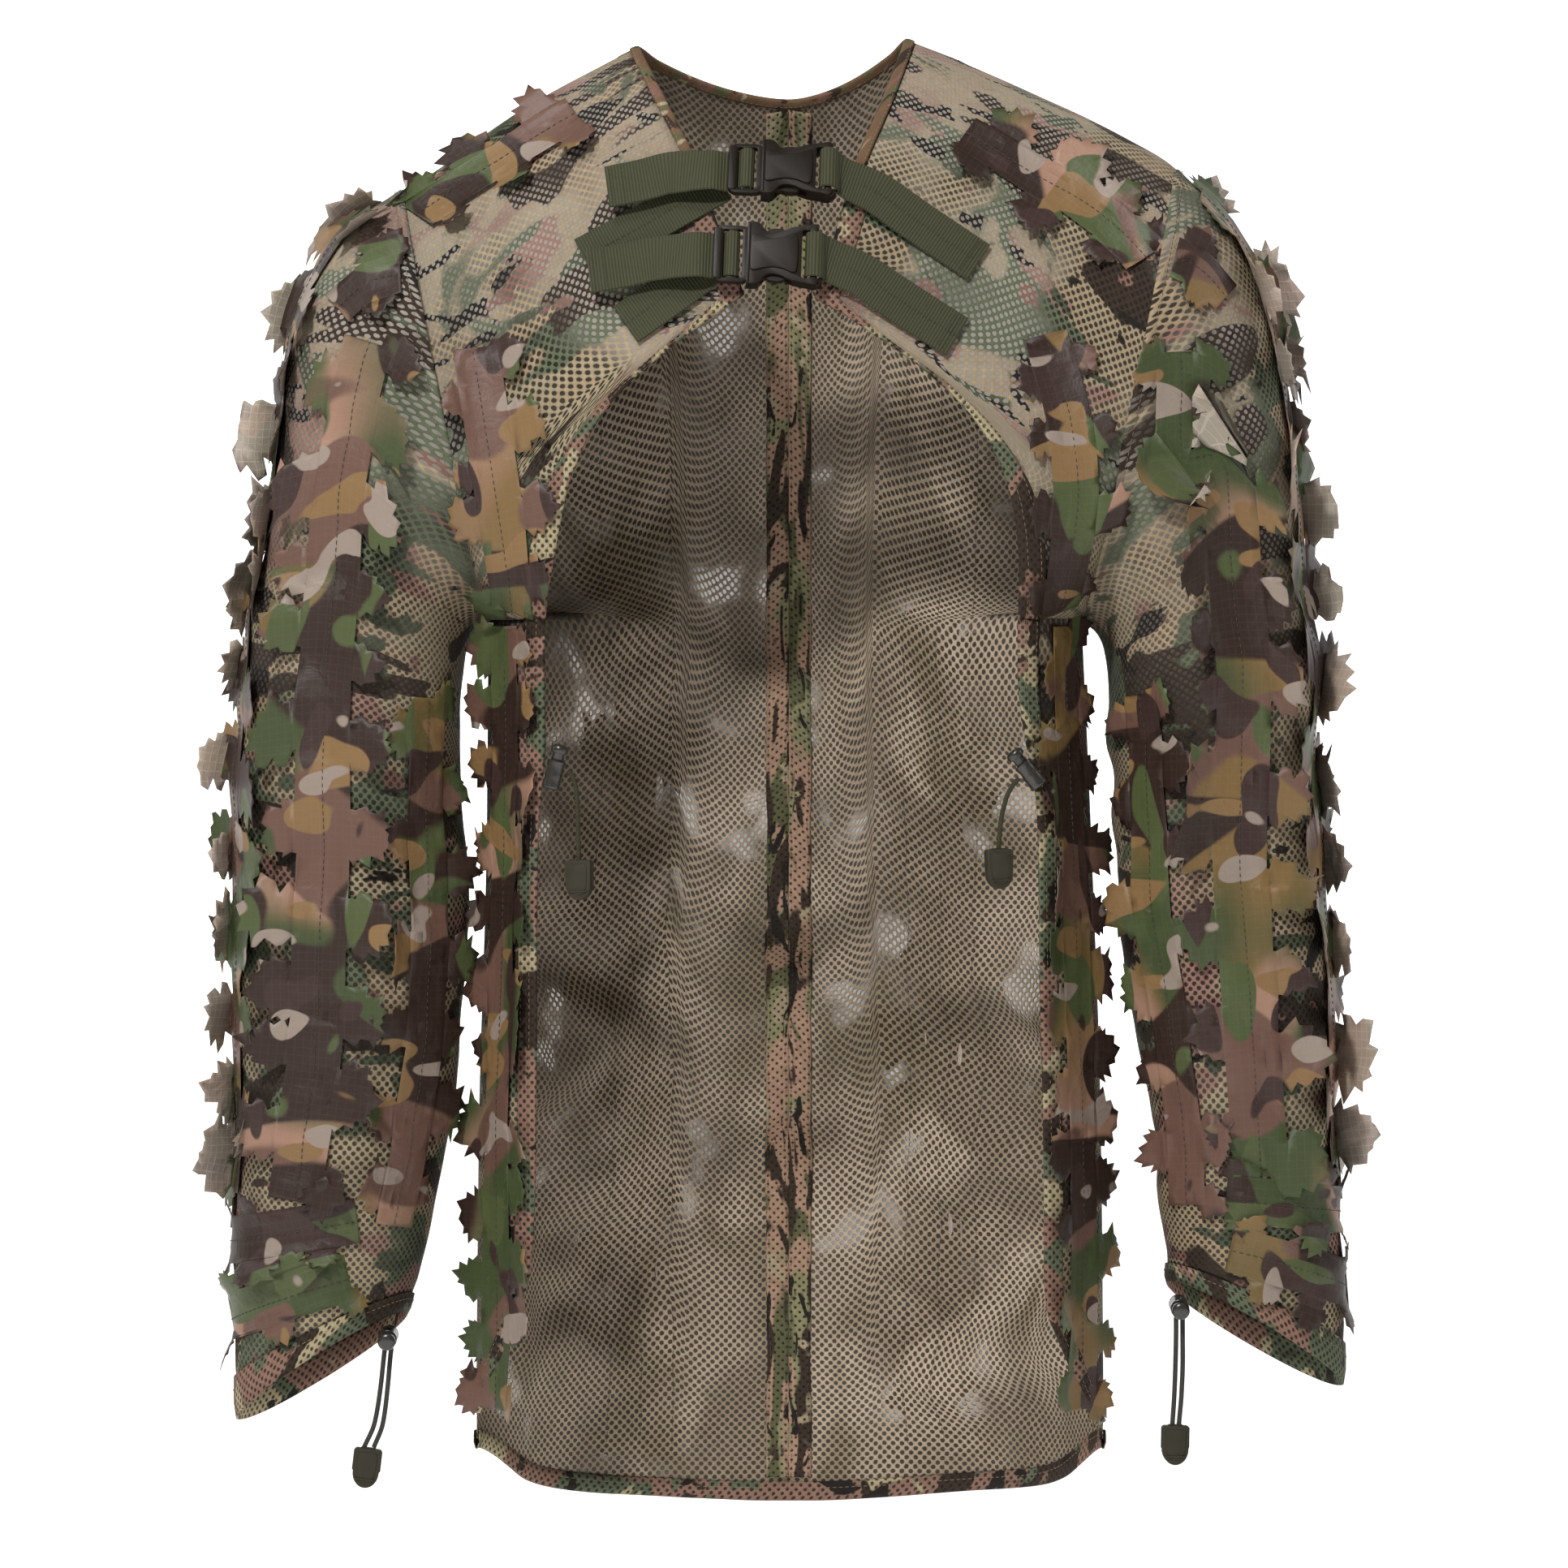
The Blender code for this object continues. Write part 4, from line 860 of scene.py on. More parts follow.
PLASTIC = plain("buckle_plastic_brown", rgb("#15100b"), 0.40, 900.0, 0.00006, other=rgb("#1b150f"), specular=0.12)
LOCK_MAT = plain("lock_plastic_black", rgb("#211f1b"), 0.28, 700.0, 0.00003)
PULL_MAT = plain("pull_plastic_grey", rgb("#2a271e"), 0.6, 900.0, 0.00008, specular=0.12)
STEEL = plain("spring_wire_steel", rgb("#a8a8a8"), 0.3, 1500.0, 0.00002, metallic=1.0)
THREAD = plain("sewing_thread", rgb("#6b5a44"), 0.7, 3000.0, 0.0001)
THREAD_DARK = plain("sewing_thread_dark", rgb("#2c2820"), 0.7, 3000.0, 0.0001)


def webbing(name):
    """Olive webbing with ribs across it and fine threads along it."""
    t = Tree(name)
    uv = t.uv()
    u, v = t.node("SeparateXYZ", {0: uv}).outputs[0:2]
    ribs = t.math("SINE", t.math("MULTIPLY", v, 2 * math.pi / 0.00165))
    threads = t.math("SINE", t.math("MULTIPLY", u, 2 * math.pi / 0.0011))
    height = t.math("ADD", t.math("MULTIPLY", ribs, 0.5), t.math("MULTIPLY", t.math("MULTIPLY", threads, ribs), 0.22))
    # painted shade: the colour follows the rib height, dark in the grooves and lighter on the crests
    shade = t.mix(t.math("MULTIPLY_ADD", height, 0.60, 0.45), rgb("#121208"), rgb("#414228"))
    shade = t.mix(t.math("MULTIPLY", t.noise(uv, 60.0, 2.0), 0.35), shade, rgb("#34361f"))
    bump = t.node("Bump", {"Strength": 0.8, "Distance": 0.0003, "Height": height}).outputs["Normal"]
    return t.finish(Base_Color=shade, Roughness=0.75, Normal=bump, Specular_IOR_Level=0.3)


WEB_MAT = webbing("webbing_olive")


def braid(name):
    t = Tree(name)
    uv = t.node("NewGeometry").outputs["Position"]
    a = t.node("TexWave", {"Vector": t.shift(uv, (1, 1, 1), (0, 0, 0), 0.7), "Scale": 330.0, "Distortion": 0.5}, bands_direction="DIAGONAL").outputs["Fac"]
    # painted shade: the colour follows the braid's wave height, dark in the grooves between strands
    shade = t.mix(a, rgb("#171509"), rgb("#3d3b27"))
    bump = t.node("Bump", {"Strength": 0.7, "Distance": 0.0003, "Height": a}).outputs["Normal"]
    return t.finish(Base_Color=shade, Roughness=0.8, Normal=bump, Specular_IOR_Level=0.25)


CORD_MAT = braid("drawcord_braid")
CORD_DARK = plain("drawcord_dark", rgb("#1d1b14"), 0.75, 1800.0, 0.0002)


# ---- drawcords, which come first --------------------------------------------------------------------------
def through(points, count):
    lengths = [0.0]
    for p, q in zip(points, points[1:]):
        lengths.append(lengths[-1] + (Vector(q) - Vector(p)).length)
    lines = [smooth([(d, p[i]) for d, p in zip(lengths, points)]) for i in range(3)]
    return [Vector([line(d) for line in lines]) for d in spread(0, lengths[-1], count)]


PULLS = {
    "waist_cord_end_right": ((-0.1083, -0.0762, -0.4117), (0.03, 0.0, -1), (-0.35, -1, 0)),
    "waist_cord_end_left": ((0.1080, -0.0762, -0.4060), (0.02, 0.0, -1), (0.35, -1, 0)),
    "cuff_cord_end_right": ((-0.2192, -0.0447, -0.7188), (-0.12, 0.0, -1), (0.05, -1, 0)),
    "cuff_cord_end_left": ((0.2015, -0.0447, -0.7068), (-0.02, 0.0, -1), (0.05, -1, 0)),
}


def bevelled(obj, width, segments=3, angle=35):
    b = obj.modifiers.new("Edges", "BEVEL")
    b.width, b.segments, b.limit_method, b.angle_limit = width, segments, "ANGLE", math.radians(angle)
    b.harden_normals = False
    return obj


def prism(name, outline, low, high, mat, place):
    mesh = bpy.data.meshes.new(name)
    bm = bmesh.new()
    face = bm.faces.new([bm.verts.new((x, y, low)) for x, y in outline])
    bm.normal_update()
    if face.normal.z > 0:
        face.normal_flip()
    new = bmesh.ops.extrude_face_region(bm, geom=[face])["geom"]
    bmesh.ops.translate(bm, verts=[v for v in new if isinstance(v, bmesh.types.BMVert)], vec=(0, 0, high - low))
    bmesh.ops.recalc_face_normals(bm, faces=bm.faces)
    bm.to_mesh(mesh)
    bm.free()
    mesh.materials.append(mat)
    obj = bpy.data.objects.new(name, mesh)
    SCENE.collection.objects.link(obj)
    obj.matrix_world = place
    obj.data.shade_smooth()
    obj.data.set_sharp_from_angle(angle=math.radians(32))
    return obj


def apply(obj):
    """Bakes an object's modifiers into its mesh."""
    bpy.context.view_layer.update()
    dg = bpy.context.evaluated_depsgraph_get()
    mesh = bpy.data.meshes.new_from_object(obj.evaluated_get(dg), depsgraph=dg)
    obj.modifiers.clear()
    old = obj.data
    obj.data = mesh
    bpy.data.meshes.remove(old)
    return obj


def cut(obj, *cutters):
    for cutter in cutters:
        change = obj.modifiers.new("Cut", "BOOLEAN")
        change.operation, change.object, change.solver = "DIFFERENCE", cutter, "EXACT"
    apply(obj)
    for cutter in cutters:
        bpy.data.objects.remove(cutter, do_unlink=True)
    return obj


def join(name, parts):
    """One mesh object from several, each with its own materials."""
    verts, faces, mats, which, at = [], [], [], [], 0
    for part in parts:
        apply(part)
        m = part.matrix_world
        verts += [m @ v.co for v in part.data.vertices]
        slots = [mats.index(x) if x in mats else (mats.append(x) or len(mats) - 1) for x in part.data.materials]
        for p in part.data.polygons:
            faces.append([at + i for i in p.vertices])
            which.append(slots[p.material_index] if slots else 0)
        at += len(part.data.vertices)
        bpy.data.objects.remove(part, do_unlink=True)
    obj = new_mesh(name, verts, faces, None, mats, which)
    obj.data.set_sharp_from_angle(angle=math.radians(32))
    return obj


def pull_outline(w, h):
    half = [(0, 0), (w / 2 - 0.0010, 0), (w / 2, -0.0010), (w / 2 - 0.0004, -h * 0.60)]
    half += [((w / 2 - 0.0004) * math.cos(math.radians(b)), -h * 0.60 - h * 0.40 * math.sin(math.radians(b))) for b in range(9, 90, 9)]
    return half + [(0, -h)] + [(-x, y) for x, y in reversed(half[1:])]


PULL_OBJ = {}
for name, (top, down, face) in PULLS.items():
    y = -Vector(down).normalized()
    x = y.cross(Vector(face)).normalized()
    z = x.cross(y)
    m = Matrix((x, y, z)).transposed().to_4x4()
    m.translation = Vector(top)
    plate = bevelled(prism(name + "_plate", pull_outline(PULL_W, PULL_H), -PULL_T / 2, PULL_T / 2, PULL_MAT, m), 0.0012, 4)
    lip = bevelled(prism(name + "_lip", [(x, y - 0.0020) for x, y in pull_outline(PULL_W - 0.0038, PULL_H - 0.0046)], PULL_T / 2 - 0.0006, PULL_T / 2 + 0.0005, PULL_MAT, m), 0.0004, 2)
    seam = prism(name + "_seam", rounded(-PULL_W / 2 - 0.0002, PULL_W / 2 + 0.0002, -PULL_H * 0.58, -0.0010, 0.0005), -0.00025, 0.00025, PULL_MAT, m)
    mouth = prism(name + "_mouth", rounded(-0.0040, 0.0040, -0.0008, 0.0005, 0.0006), -0.0019, 0.0019, PULL_MAT, m)
    bar = prism(name + "_bar", rounded(-PULL_W / 2 + 0.0022, PULL_W / 2 - 0.0022, -PULL_H * 0.80, -PULL_H * 0.80 + 0.0009, 0.0004), PULL_T / 2, PULL_T / 2 + 0.0009, PULL_MAT, m)
    obj = join(name + "_moulded", [plate, lip, seam, mouth, bar])
    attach(obj, "root")
    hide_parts(name)
    PULL_OBJ[name] = obj

ROUTES = {
    "waist_cord_right": [(-0.1142, -0.0775, -0.3658), (-0.1120, -0.0777, -0.3678), (-0.1096, -0.0775, -0.3760), (-0.1088, -0.0768, -0.3930), (-0.1084, -0.0762, -0.4112)],
    "waist_cord_left": [(0.1186, -0.0775, -0.3694), (0.1160, -0.0777, -0.3720), (0.1118, -0.0775, -0.3800), (0.1090, -0.0768, -0.3930), (0.1080, -0.0762, -0.4055)],
}
for side, x0, points in (
    (RIGHT, -0.2090, lambda dx: [(-0.2090 + dx, -0.0451, -0.6665), (-0.2096 + dx, -0.0452, -0.6720), (-0.2112 + 1.1 * dx, -0.0453, -0.6880), (-0.2140 + 1.3 * dx, -0.0450, -0.7060), (-0.2190 + 1.5 * dx, -0.0447, -0.7182)]),
    (LEFT, 0.2035, lambda dx: [(0.2035 + dx, -0.0451, -0.6505), (0.2035 + dx, -0.0452, -0.6560), (0.2034 + 1.1 * dx, -0.0453, -0.6720), (0.2028 + 1.1 * dx, -0.0450, -0.6900), (0.2016 + dx, -0.0447, -0.7062)]),
):
    for i, dx in enumerate((-0.0017, 0.0017)):
        ROUTES[f"cuff_cord_{'ab'[i]}_{SIDE[side]}"] = points(dx)

CORDS = []
for name, route in ROUTES.items():
    end = PULL_OBJ[("waist" if name.startswith("waist") else "cuff") + "_cord_end_" + name.rsplit("_", 1)[1]]
    points = through(route, 60)
    curve = bpy.data.curves.new(name + "_braid", "CURVE")
    curve.dimensions = "3D"
    spline = curve.splines.new("POLY")
    spline.points.add(len(points) - 1)
    for point, p in zip(spline.points, points):
        point.co = (*p, 1)
    curve.bevel_depth, curve.bevel_resolution, curve.use_fill_caps = CORD_D / 2, 5, True
    curve.materials.append(CORD_MAT if name.startswith("waist") else CORD_DARK)
    obj = bpy.data.objects.new(name + "_braid", curve)
    SCENE.collection.objects.link(obj)
    length = sum((q - p).length for p, q in zip(points, points[1:]))
    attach(obj, "root")
    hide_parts(name)
    CORDS.append((name, round(length, 4)))


# ---- cloth shell ----------------------------------------------------------------------------------------
def body_grid(side, front, rows):
    """A grid of (a, t) rows read off the body surface."""
    A = np.array([[p[0] for p in row] for row in rows])
    T = np.array([[p[1] for p in row] for row in rows])
    return TORSO[side, front].at(A, T)


def spans(P):
    return float(arc(P, 1)[:, -1].max()), float(arc(P, 0)[-1, :].max())


def stitches(name, P, N, pitch=0.0034, length=0.0024, radius=0.00022, lift=0.0003, mat=None, body="root", slope=0.0):
    """Sewing thread along a line of points: one small bead for each stitch."""
    P, N = np.asarray(P, float), np.asarray(N, float)
    d = np.concatenate([[0], np.cumsum(np.linalg.norm(np.diff(P, axis=0), axis=1))])
    count = max(int(d[-1] / pitch), 1)
    verts, faces = [], []
    for i in range(count):
        s = (i + 0.5) * d[-1] / count
        ends = [np.array([np.interp(s + e, d, P[:, c]) for c in range(3)]) for e in (-length / 2, length / 2)]
        n = np.array([np.interp(s, d, N[:, c]) for c in range(3)])
        n /= np.linalg.norm(n)
        along = ends[1] - ends[0]
        along /= max(np.linalg.norm(along), 1e-9)
        b = np.cross(n, along)
        base = len(verts)
        for share, r in ((0.0, 0.35), (0.5, 1.0), (1.0, 0.35)):
            c = ends[0] + (ends[1] - ends[0]) * share + n * (lift + radius * (1.0 if share == 0.5 else -0.3)) + b * slope * (share - 0.5) * length
            for q in range(4):
                w = math.pi / 2 * q
                verts.append(c + (n * math.sin(w) + b * math.cos(w)) * radius * r)
        for ring in (0, 1):
            for q in range(4):
                i0, i1 = base + ring * 4 + q, base + ring * 4 + (q + 1) % 4
                faces.append((i0, i1, i1 + 4, i0 + 4))
        faces.append((base + 3, base + 2, base + 1, base))
        faces.append((base + 8, base + 9, base + 10, base + 11))
    obj = new_mesh(name, verts, faces, None, [mat or THREAD])
    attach(obj, body)
    return obj


FINE = 0.0042
for side in (RIGHT, LEFT):
    name = SIDE[side]
    # back panel, out to the side seam and up to the shoulder
    neck = neck_line(side, drop=0.0012, out=0.0014)
    rows, count = [], int(0.78 / FINE)
    lower = across(side, 1.6, 0.0001)
    start = [in_turn(T_CASING[side] * 0.45, neck(lower), v) for v in spread(0, 1, count)]
    for v, t0 in zip(spread(0, 1, count), start):
        row, t = [], t0
        for u in spread(0, 1, int(0.24 / FINE)):
            for _ in range(3):
                a = in_turn(across(side, t, 0.0001), NEARLY, u)
                t = in_turn(T_CASING[side] * 0.45, neck(a), v)
            row.append((a, t))
        rows.append(row)
    P, N = body_grid(side, 1, rows)
    smoothed = calm(P)
    depth, down = -smoothed[..., 2], arc(smoothed, 0)
    order = slice(None) if depth[0].mean() < depth[-1].mean() else slice(None, None, -1)
    down = down if depth[0].mean() < depth[-1].mean() else -down
    start = np.array([np.interp(0.12, depth[order, j], down[order, j]) for j in range(depth.shape[1])])
    uv = np.stack([arc(smoothed, 1), np.where(depth > 0.12, depth, down - start + 0.12)], -1)
    P[:, 0, 0] = -side * 0.0004
    obj = grid_cloth(f"back_mesh_{name}", P, N, [MESH_OUT, MESH_IN], 0.0005, uv=uv)
    hang(obj, f"back_panel_{name}", spans(P))

    # front panel
    fine_levels = spread(1.985, T_TIP[side] + 0.006, 44) + spread(T_TIP[side], 1.0, 44) + spread(0.985, T_END[side], 60)
    edge_width = [strip_width(side, t) for t in fine_levels]
    low = [inset(side, t, w * 0.35) for t, w in zip(fine_levels, edge_width)]
    rows = [[(in_turn(a0, NEARLY, u), min(t, ridge(side, -1, min(in_turn(a0, NEARLY, u), 1.5)) if i == 0 else t)) for u in spread(0, 1, int(0.17 / FINE))] for i, (t, a0) in enumerate(zip(fine_levels, low))]
    P, N = body_grid(side, -1, rows)
    smoothed = calm(P, 8)
    wide, down = arc(smoothed, 1), arc(smoothed, 0)
    uv = np.stack([wide - wide[:, -1:], down[:, -1:] + 0 * wide], -1)
    obj = grid_cloth(f"front_mesh_{name}", P, N, [MESH_OUT, MESH_IN], 0.0005, uv=uv)
    hang(obj, f"front_panel_{name}", spans(P))

    # doubled front edge, turned over at its rim
    kept = [(t, w) for t, w in zip(fine_levels, edge_width) if t < T_V[side] - 0.012]
    stations = []
    for t, w in kept:
        stations.append([(inset(side, t, d * w), t) for d in (0.0, 0.04, 0.3, 0.55, 0.8, 0.96, 1.0)])
    P, N = body_grid(side, -1, stations)
    rise = np.array([0.0, 0.0011, 0.0013, 0.0011, 0.0013, 0.0010, 0.0003])
    top = P + N * rise[None, :, None]
    under = (P - N * (rise * 0.9)[None, :, None])[:, :4][:, ::-1]
    loop = np.concatenate([under, top[:, 0:]], axis=1)
    loop_n = np.concatenate([-N[:, :4][:, ::-1], N], axis=1)
    loop_n[:, 3:5] = unit(P[:, :1] - P[:, 3:4])
    obj = grid_cloth(f"front_edge_{name}", loop, loop_n, [EDGE_OUT], 0.0004, uv=loop[..., [0, 2]] * np.array([1.15, 1.0]), offset=0.0)
    mid = len(loop) // 2
    hang(obj, f"front_facing_{name}", spans(loop))
    seam = stitches(f"front_edge_stitch_{name}", top[:, 4], N[:, 4], lift=0.0004)
    inner = stitches(f"front_edge_stitch_b_{name}", top[:, 2], N[:, 2], lift=0.0002)

    # centre-back tape
    ts = spread(T_CASING[side], neck_line(side, drop=0.0050)(0.02), 170)
    rows = [[(across(side, t, x), t) for x in (0.00003, 0.0015, TAPE * 0.5, TAPE - 0.0015, TAPE)] for t in ts]
    P, N = body_grid(side, 1, rows)
    P = P - N * (0.0012 + 0.0004 * np.array([0, 1, 1.3, 1, 0]))[None, :, None]
    P[:, 0, 0] = -side * 0.0004
    obj = grid_cloth(f"back_tape_{name}", P, -N, [TAPE_OUT], 0.0007, offset=0.0)
    hang(obj, f"back_seam_tape_{name}", spans(P))
    stitches(f"back_tape_stitch_{name}", P[:, 3], -N[:, 3], lift=0.0003, mat=THREAD_DARK)
    stitches(f"back_tape_stitch_b_{name}", P[:, 1], -N[:, 1], lift=0.0003, mat=THREAD_DARK)

    # seam thread lines that hold the leaf strips, seen from the inside of the back
    for x, tag in ((0.066, "a"), (0.085, "b"), (0.104, "c")):
        rows = [[(across(side, t, x), t)] for t in spread(0.06, 1.66, 160)]
        P, N = body_grid(side, 1, rows)
        stitches(f"back_inner_stitch_{tag}_{name}", P[:, 0] - N[:, 0] * 0.0006, -N[:, 0], lift=0.0001, length=0.0026, mat=THREAD_DARK)

# hem casing of the back, closed over its cord
rows = []
for side, steps in ((RIGHT, spread(-NEARLY, 0, 70)), (LEFT, spread(0, NEARLY, 70)[1:])):
    top_t = (HEM_CASING - GAP) / (Z_ARMPIT + 0.75)
    row_p, row_n = TORSO[side, 1].at([[abs(a)] * 4 for a in steps], [[0.0, top_t / 3, top_t * 2 / 3, top_t]] * len(steps))
    for p, n in zip(row_p, row_n):
        out = p + n * 0.0014 * np.array([0.3, 1, 1, 0.9])[:, None]
        inn = p - n * 0.0014 * np.array([0.3, 1, 1, 0.9])[:, None]
        rows.append((np.concatenate([inn[::-1], out]), np.concatenate([-n[::-1], n])))
P = np.array([r[0] for r in rows])
N = np.array([r[1] for r in rows])
N[:, 3:5] = np.array([0, 0, -1.0])
obj = grid_cloth("hem_band", P, N, [EDGE_OUT], 0.0004, offset=0.0)
hang(obj, "hem_casing", spans(P))
stitches("hem_band_stitch_a", P[:, 6], N[:, 6], lift=0.0002)
stitches("hem_band_stitch_b", P[:, 1], N[:, 1], lift=0.0002)

# neck binding: a bias strip folded over the edge
path = []
for side in (RIGHT, LEFT):
    line, found = neck_line(side), []
    end = torso_at(side, 1, NECK_X[side], RIDGE[side](NECK_X[side]))[0]
    for a in spread(0.0, end, 44)[:-1]:
        p, n = TORSO[side, 1].at(a, line(a))
        found.append((p, n))
    for t in spread(1.985, T_V[side] + 0.004, 34):
        p, n = TORSO[side, -1].at(EDGE[side](t), t)
        found.append((p, n))
    path = [*reversed(found)] + path if side == RIGHT else path + found[1:]
C = np.array([p for p, n in path])
Cn = np.array([n for p, n in path])
for _ in range(3):
    C[1:-1] = (C[:-2] + 2 * C[1:-1] + C[2:]) / 4
    Cn[1:-1] = (Cn[:-2] + 2 * Cn[1:-1] + Cn[2:]) / 4
Cn = unit(Cn)
along = unit(np.gradient(C, axis=0))
into = unit(np.cross(Cn, along))
if into[len(into) // 2][2] > 0:
    into = -into
ring, ring_n = [], []
for d, h in ((1.0, -0.0012), (0.75, -0.0014), (0.3, -0.0014), (0.05, -0.0010), (-0.08, 0.0), (0.05, 0.0010), (0.3, 0.0014), (0.75, 0.0014), (1.0, 0.0011)):
    ring.append(C + into * BINDING * d + Cn * h)
    ring_n.append(np.sign(h) * Cn if h else -into)
P, N = np.stack(ring, 1), np.stack(ring_n, 1)
BIND_OUT = mesh_cloth("binding_print", rgb("#5a4430"), [(OLIVE, 60.0, (1, 1), 0.56, 0.02, 0.8, 0.2), (MAUVE, 45.0, (1, 1), 0.60, 0.03, 0.6, 0.4), (DARK, 70.0, (1.2, 0.8), 0.60, 0.02, 1.0, 0.0), (TAN, 55.0, (1, 1), 0.64, 0.02, 0.5, 0.8)], radius=0.00001)
obj = grid_cloth("neck_band", P, N, [BIND_OUT], 0.0004, offset=0.0)
hang(obj, "neck_binding", spans(P))
stitches("neck_band_stitch_in", P[:, 1], N[:, 1], lift=0.0001, length=0.0019, pitch=0.0027)
stitches("neck_band_stitch_out", P[:, 7], N[:, 7], lift=0.0001, length=0.0019, pitch=0.0027)

# sleeves and cuffs
for side in (RIGHT, LEFT):
    name = SIDE[side]
    fs = np.array(spread(0, 2 * math.pi, int(0.36 / FINE)))
    ks = spread(0.0, CUFF_K + 0.002, int(0.62 / FINE))
    P, N = SLEEVE[side].at(fs[None, :] - math.pi, np.array(ks)[:, None])
    lap = [P[:1] + np.array([-side * d, 0, 0]) + N[:1] * h for d, h in ((0.0040, 0.0006), (0.0016, 0.0009))]
    P, N = np.concatenate(lap + [P]), np.concatenate([N[:1], N[:1], N])
    P[:, -1], N[:, -1] = P[:, 0], N[:, 0]
    flat_u = arc(P * np.array([1.0, 1.0, 0.35]), 1)
    flat_u = flat_u - flat_u[:, len(fs) * 3 // 4 : len(fs) * 3 // 4 + 1]
    down = arc(calm(P), 0)
    down[:, -1] = down[:, 0]
    flat_v = down - down[-1:] - P[-1:, :, 2]
    obj = grid_cloth(f"sleeve_mesh_{name}", P, N, [MESH_OUT, MESH_IN], 0.0005, closed=True, uv=np.stack([flat_u, flat_v], -1))
    hang(obj, f"sleeve_{name}", spans(P))
    P, N = SLEEVE[side].at(fs[None, :] - math.pi, np.array([1.0, CUFF_K + 0.022, CUFF_K + 0.011, CUFF_K])[:, None])
    inn = P - N * 0.0012 * np.array([0.3, 1, 1, 1])[:, None, None]
    out = P + N * 0.0014 * np.array([0.3, 1, 1, 0.8])[:, None, None]
    Q = np.concatenate([inn[::-1], out])
    Qn = np.concatenate([-N[::-1], N])
    Qn[3:5] = np.array([0, 0, -1.0])
    Q[:, -1] = Q[:, 0]
    obj = grid_cloth(f"cuff_band_{name}", Q, Qn, [EDGE_OUT], 0.0004, closed=True, offset=0.0)
    hang(obj, f"cuff_casing_{name}", spans(Q))
    stitches(f"cuff_band_stitch_{name}", out[2], N[2], lift=0.0002)
    stitches(f"cuff_band_stitch_in_{name}", inn[2], -N[2], lift=0.0002)
    # armhole seam
    P, N = SLEEVE[side].at(fs - math.pi, np.full(len(fs), 0.004))
    stitches(f"armhole_stitch_{name}", P, N, lift=0.0005)


# ---- leaf strips ------------------------------------------------------------------------------------------
LEAF_SHAPES = [
    [(0.46, 0.0), (0.50, 0.13), (0.82, 0.10), (0.73, 0.25), (1.0, 0.42), (0.78, 0.45), (0.86, 0.63), (0.55, 0.60), (0.50, 0.81), (0.25, 0.77), (0.0, 1.0)],
    [(0.42, 0.0), (0.46, 0.16), (0.70, 0.19), (0.80, 0.32), (0.56, 0.41), (0.82, 0.51), (0.86, 0.67), (0.52, 0.70), (0.50, 0.88), (0.19, 0.85), (0.0, 0.98)],
    [(0.50, 0.0), (0.60, 0.16), (0.94, 0.29), (0.70, 0.39), (0.76, 0.57), (0.46, 0.59), (0.44, 0.77), (0.20, 0.79), (0.0, 1.0)],
    [(0.44, 0.0), (0.45, 0.10), (0.90, 0.14), (0.82, 0.29), (1.0, 0.50), (0.70, 0.51), (0.72, 0.70), (0.90, 0.86), (0.52, 0.82), (0.32, 0.96), (0.12, 0.85), (0.0, 0.93)],
]


def leaf_polygon(rng, reach, width, lean):
    shape = rng.choice(LEAF_SHAPES)
    halves = []
    for sign in (1, -1):
        half = [(sign * (x + rng.uniform(-0.08, 0.08)) * width, (y + rng.uniform(-0.05, 0.05)) * reach) for x, y in shape[:-1]]
        half[0] = (sign * shape[0][0] * width, -0.002)
        halves.append(half)
    tip = (rng.uniform(-0.10, 0.10) * width, shape[-1][1] * reach)
    points = halves[0] + [tip] + halves[1][::-1]
    c, s = math.cos(lean), math.sin(lean)
    return [(x * c + y * s, -x * s + y * c if y > 0.001 else y) for x, y in points]


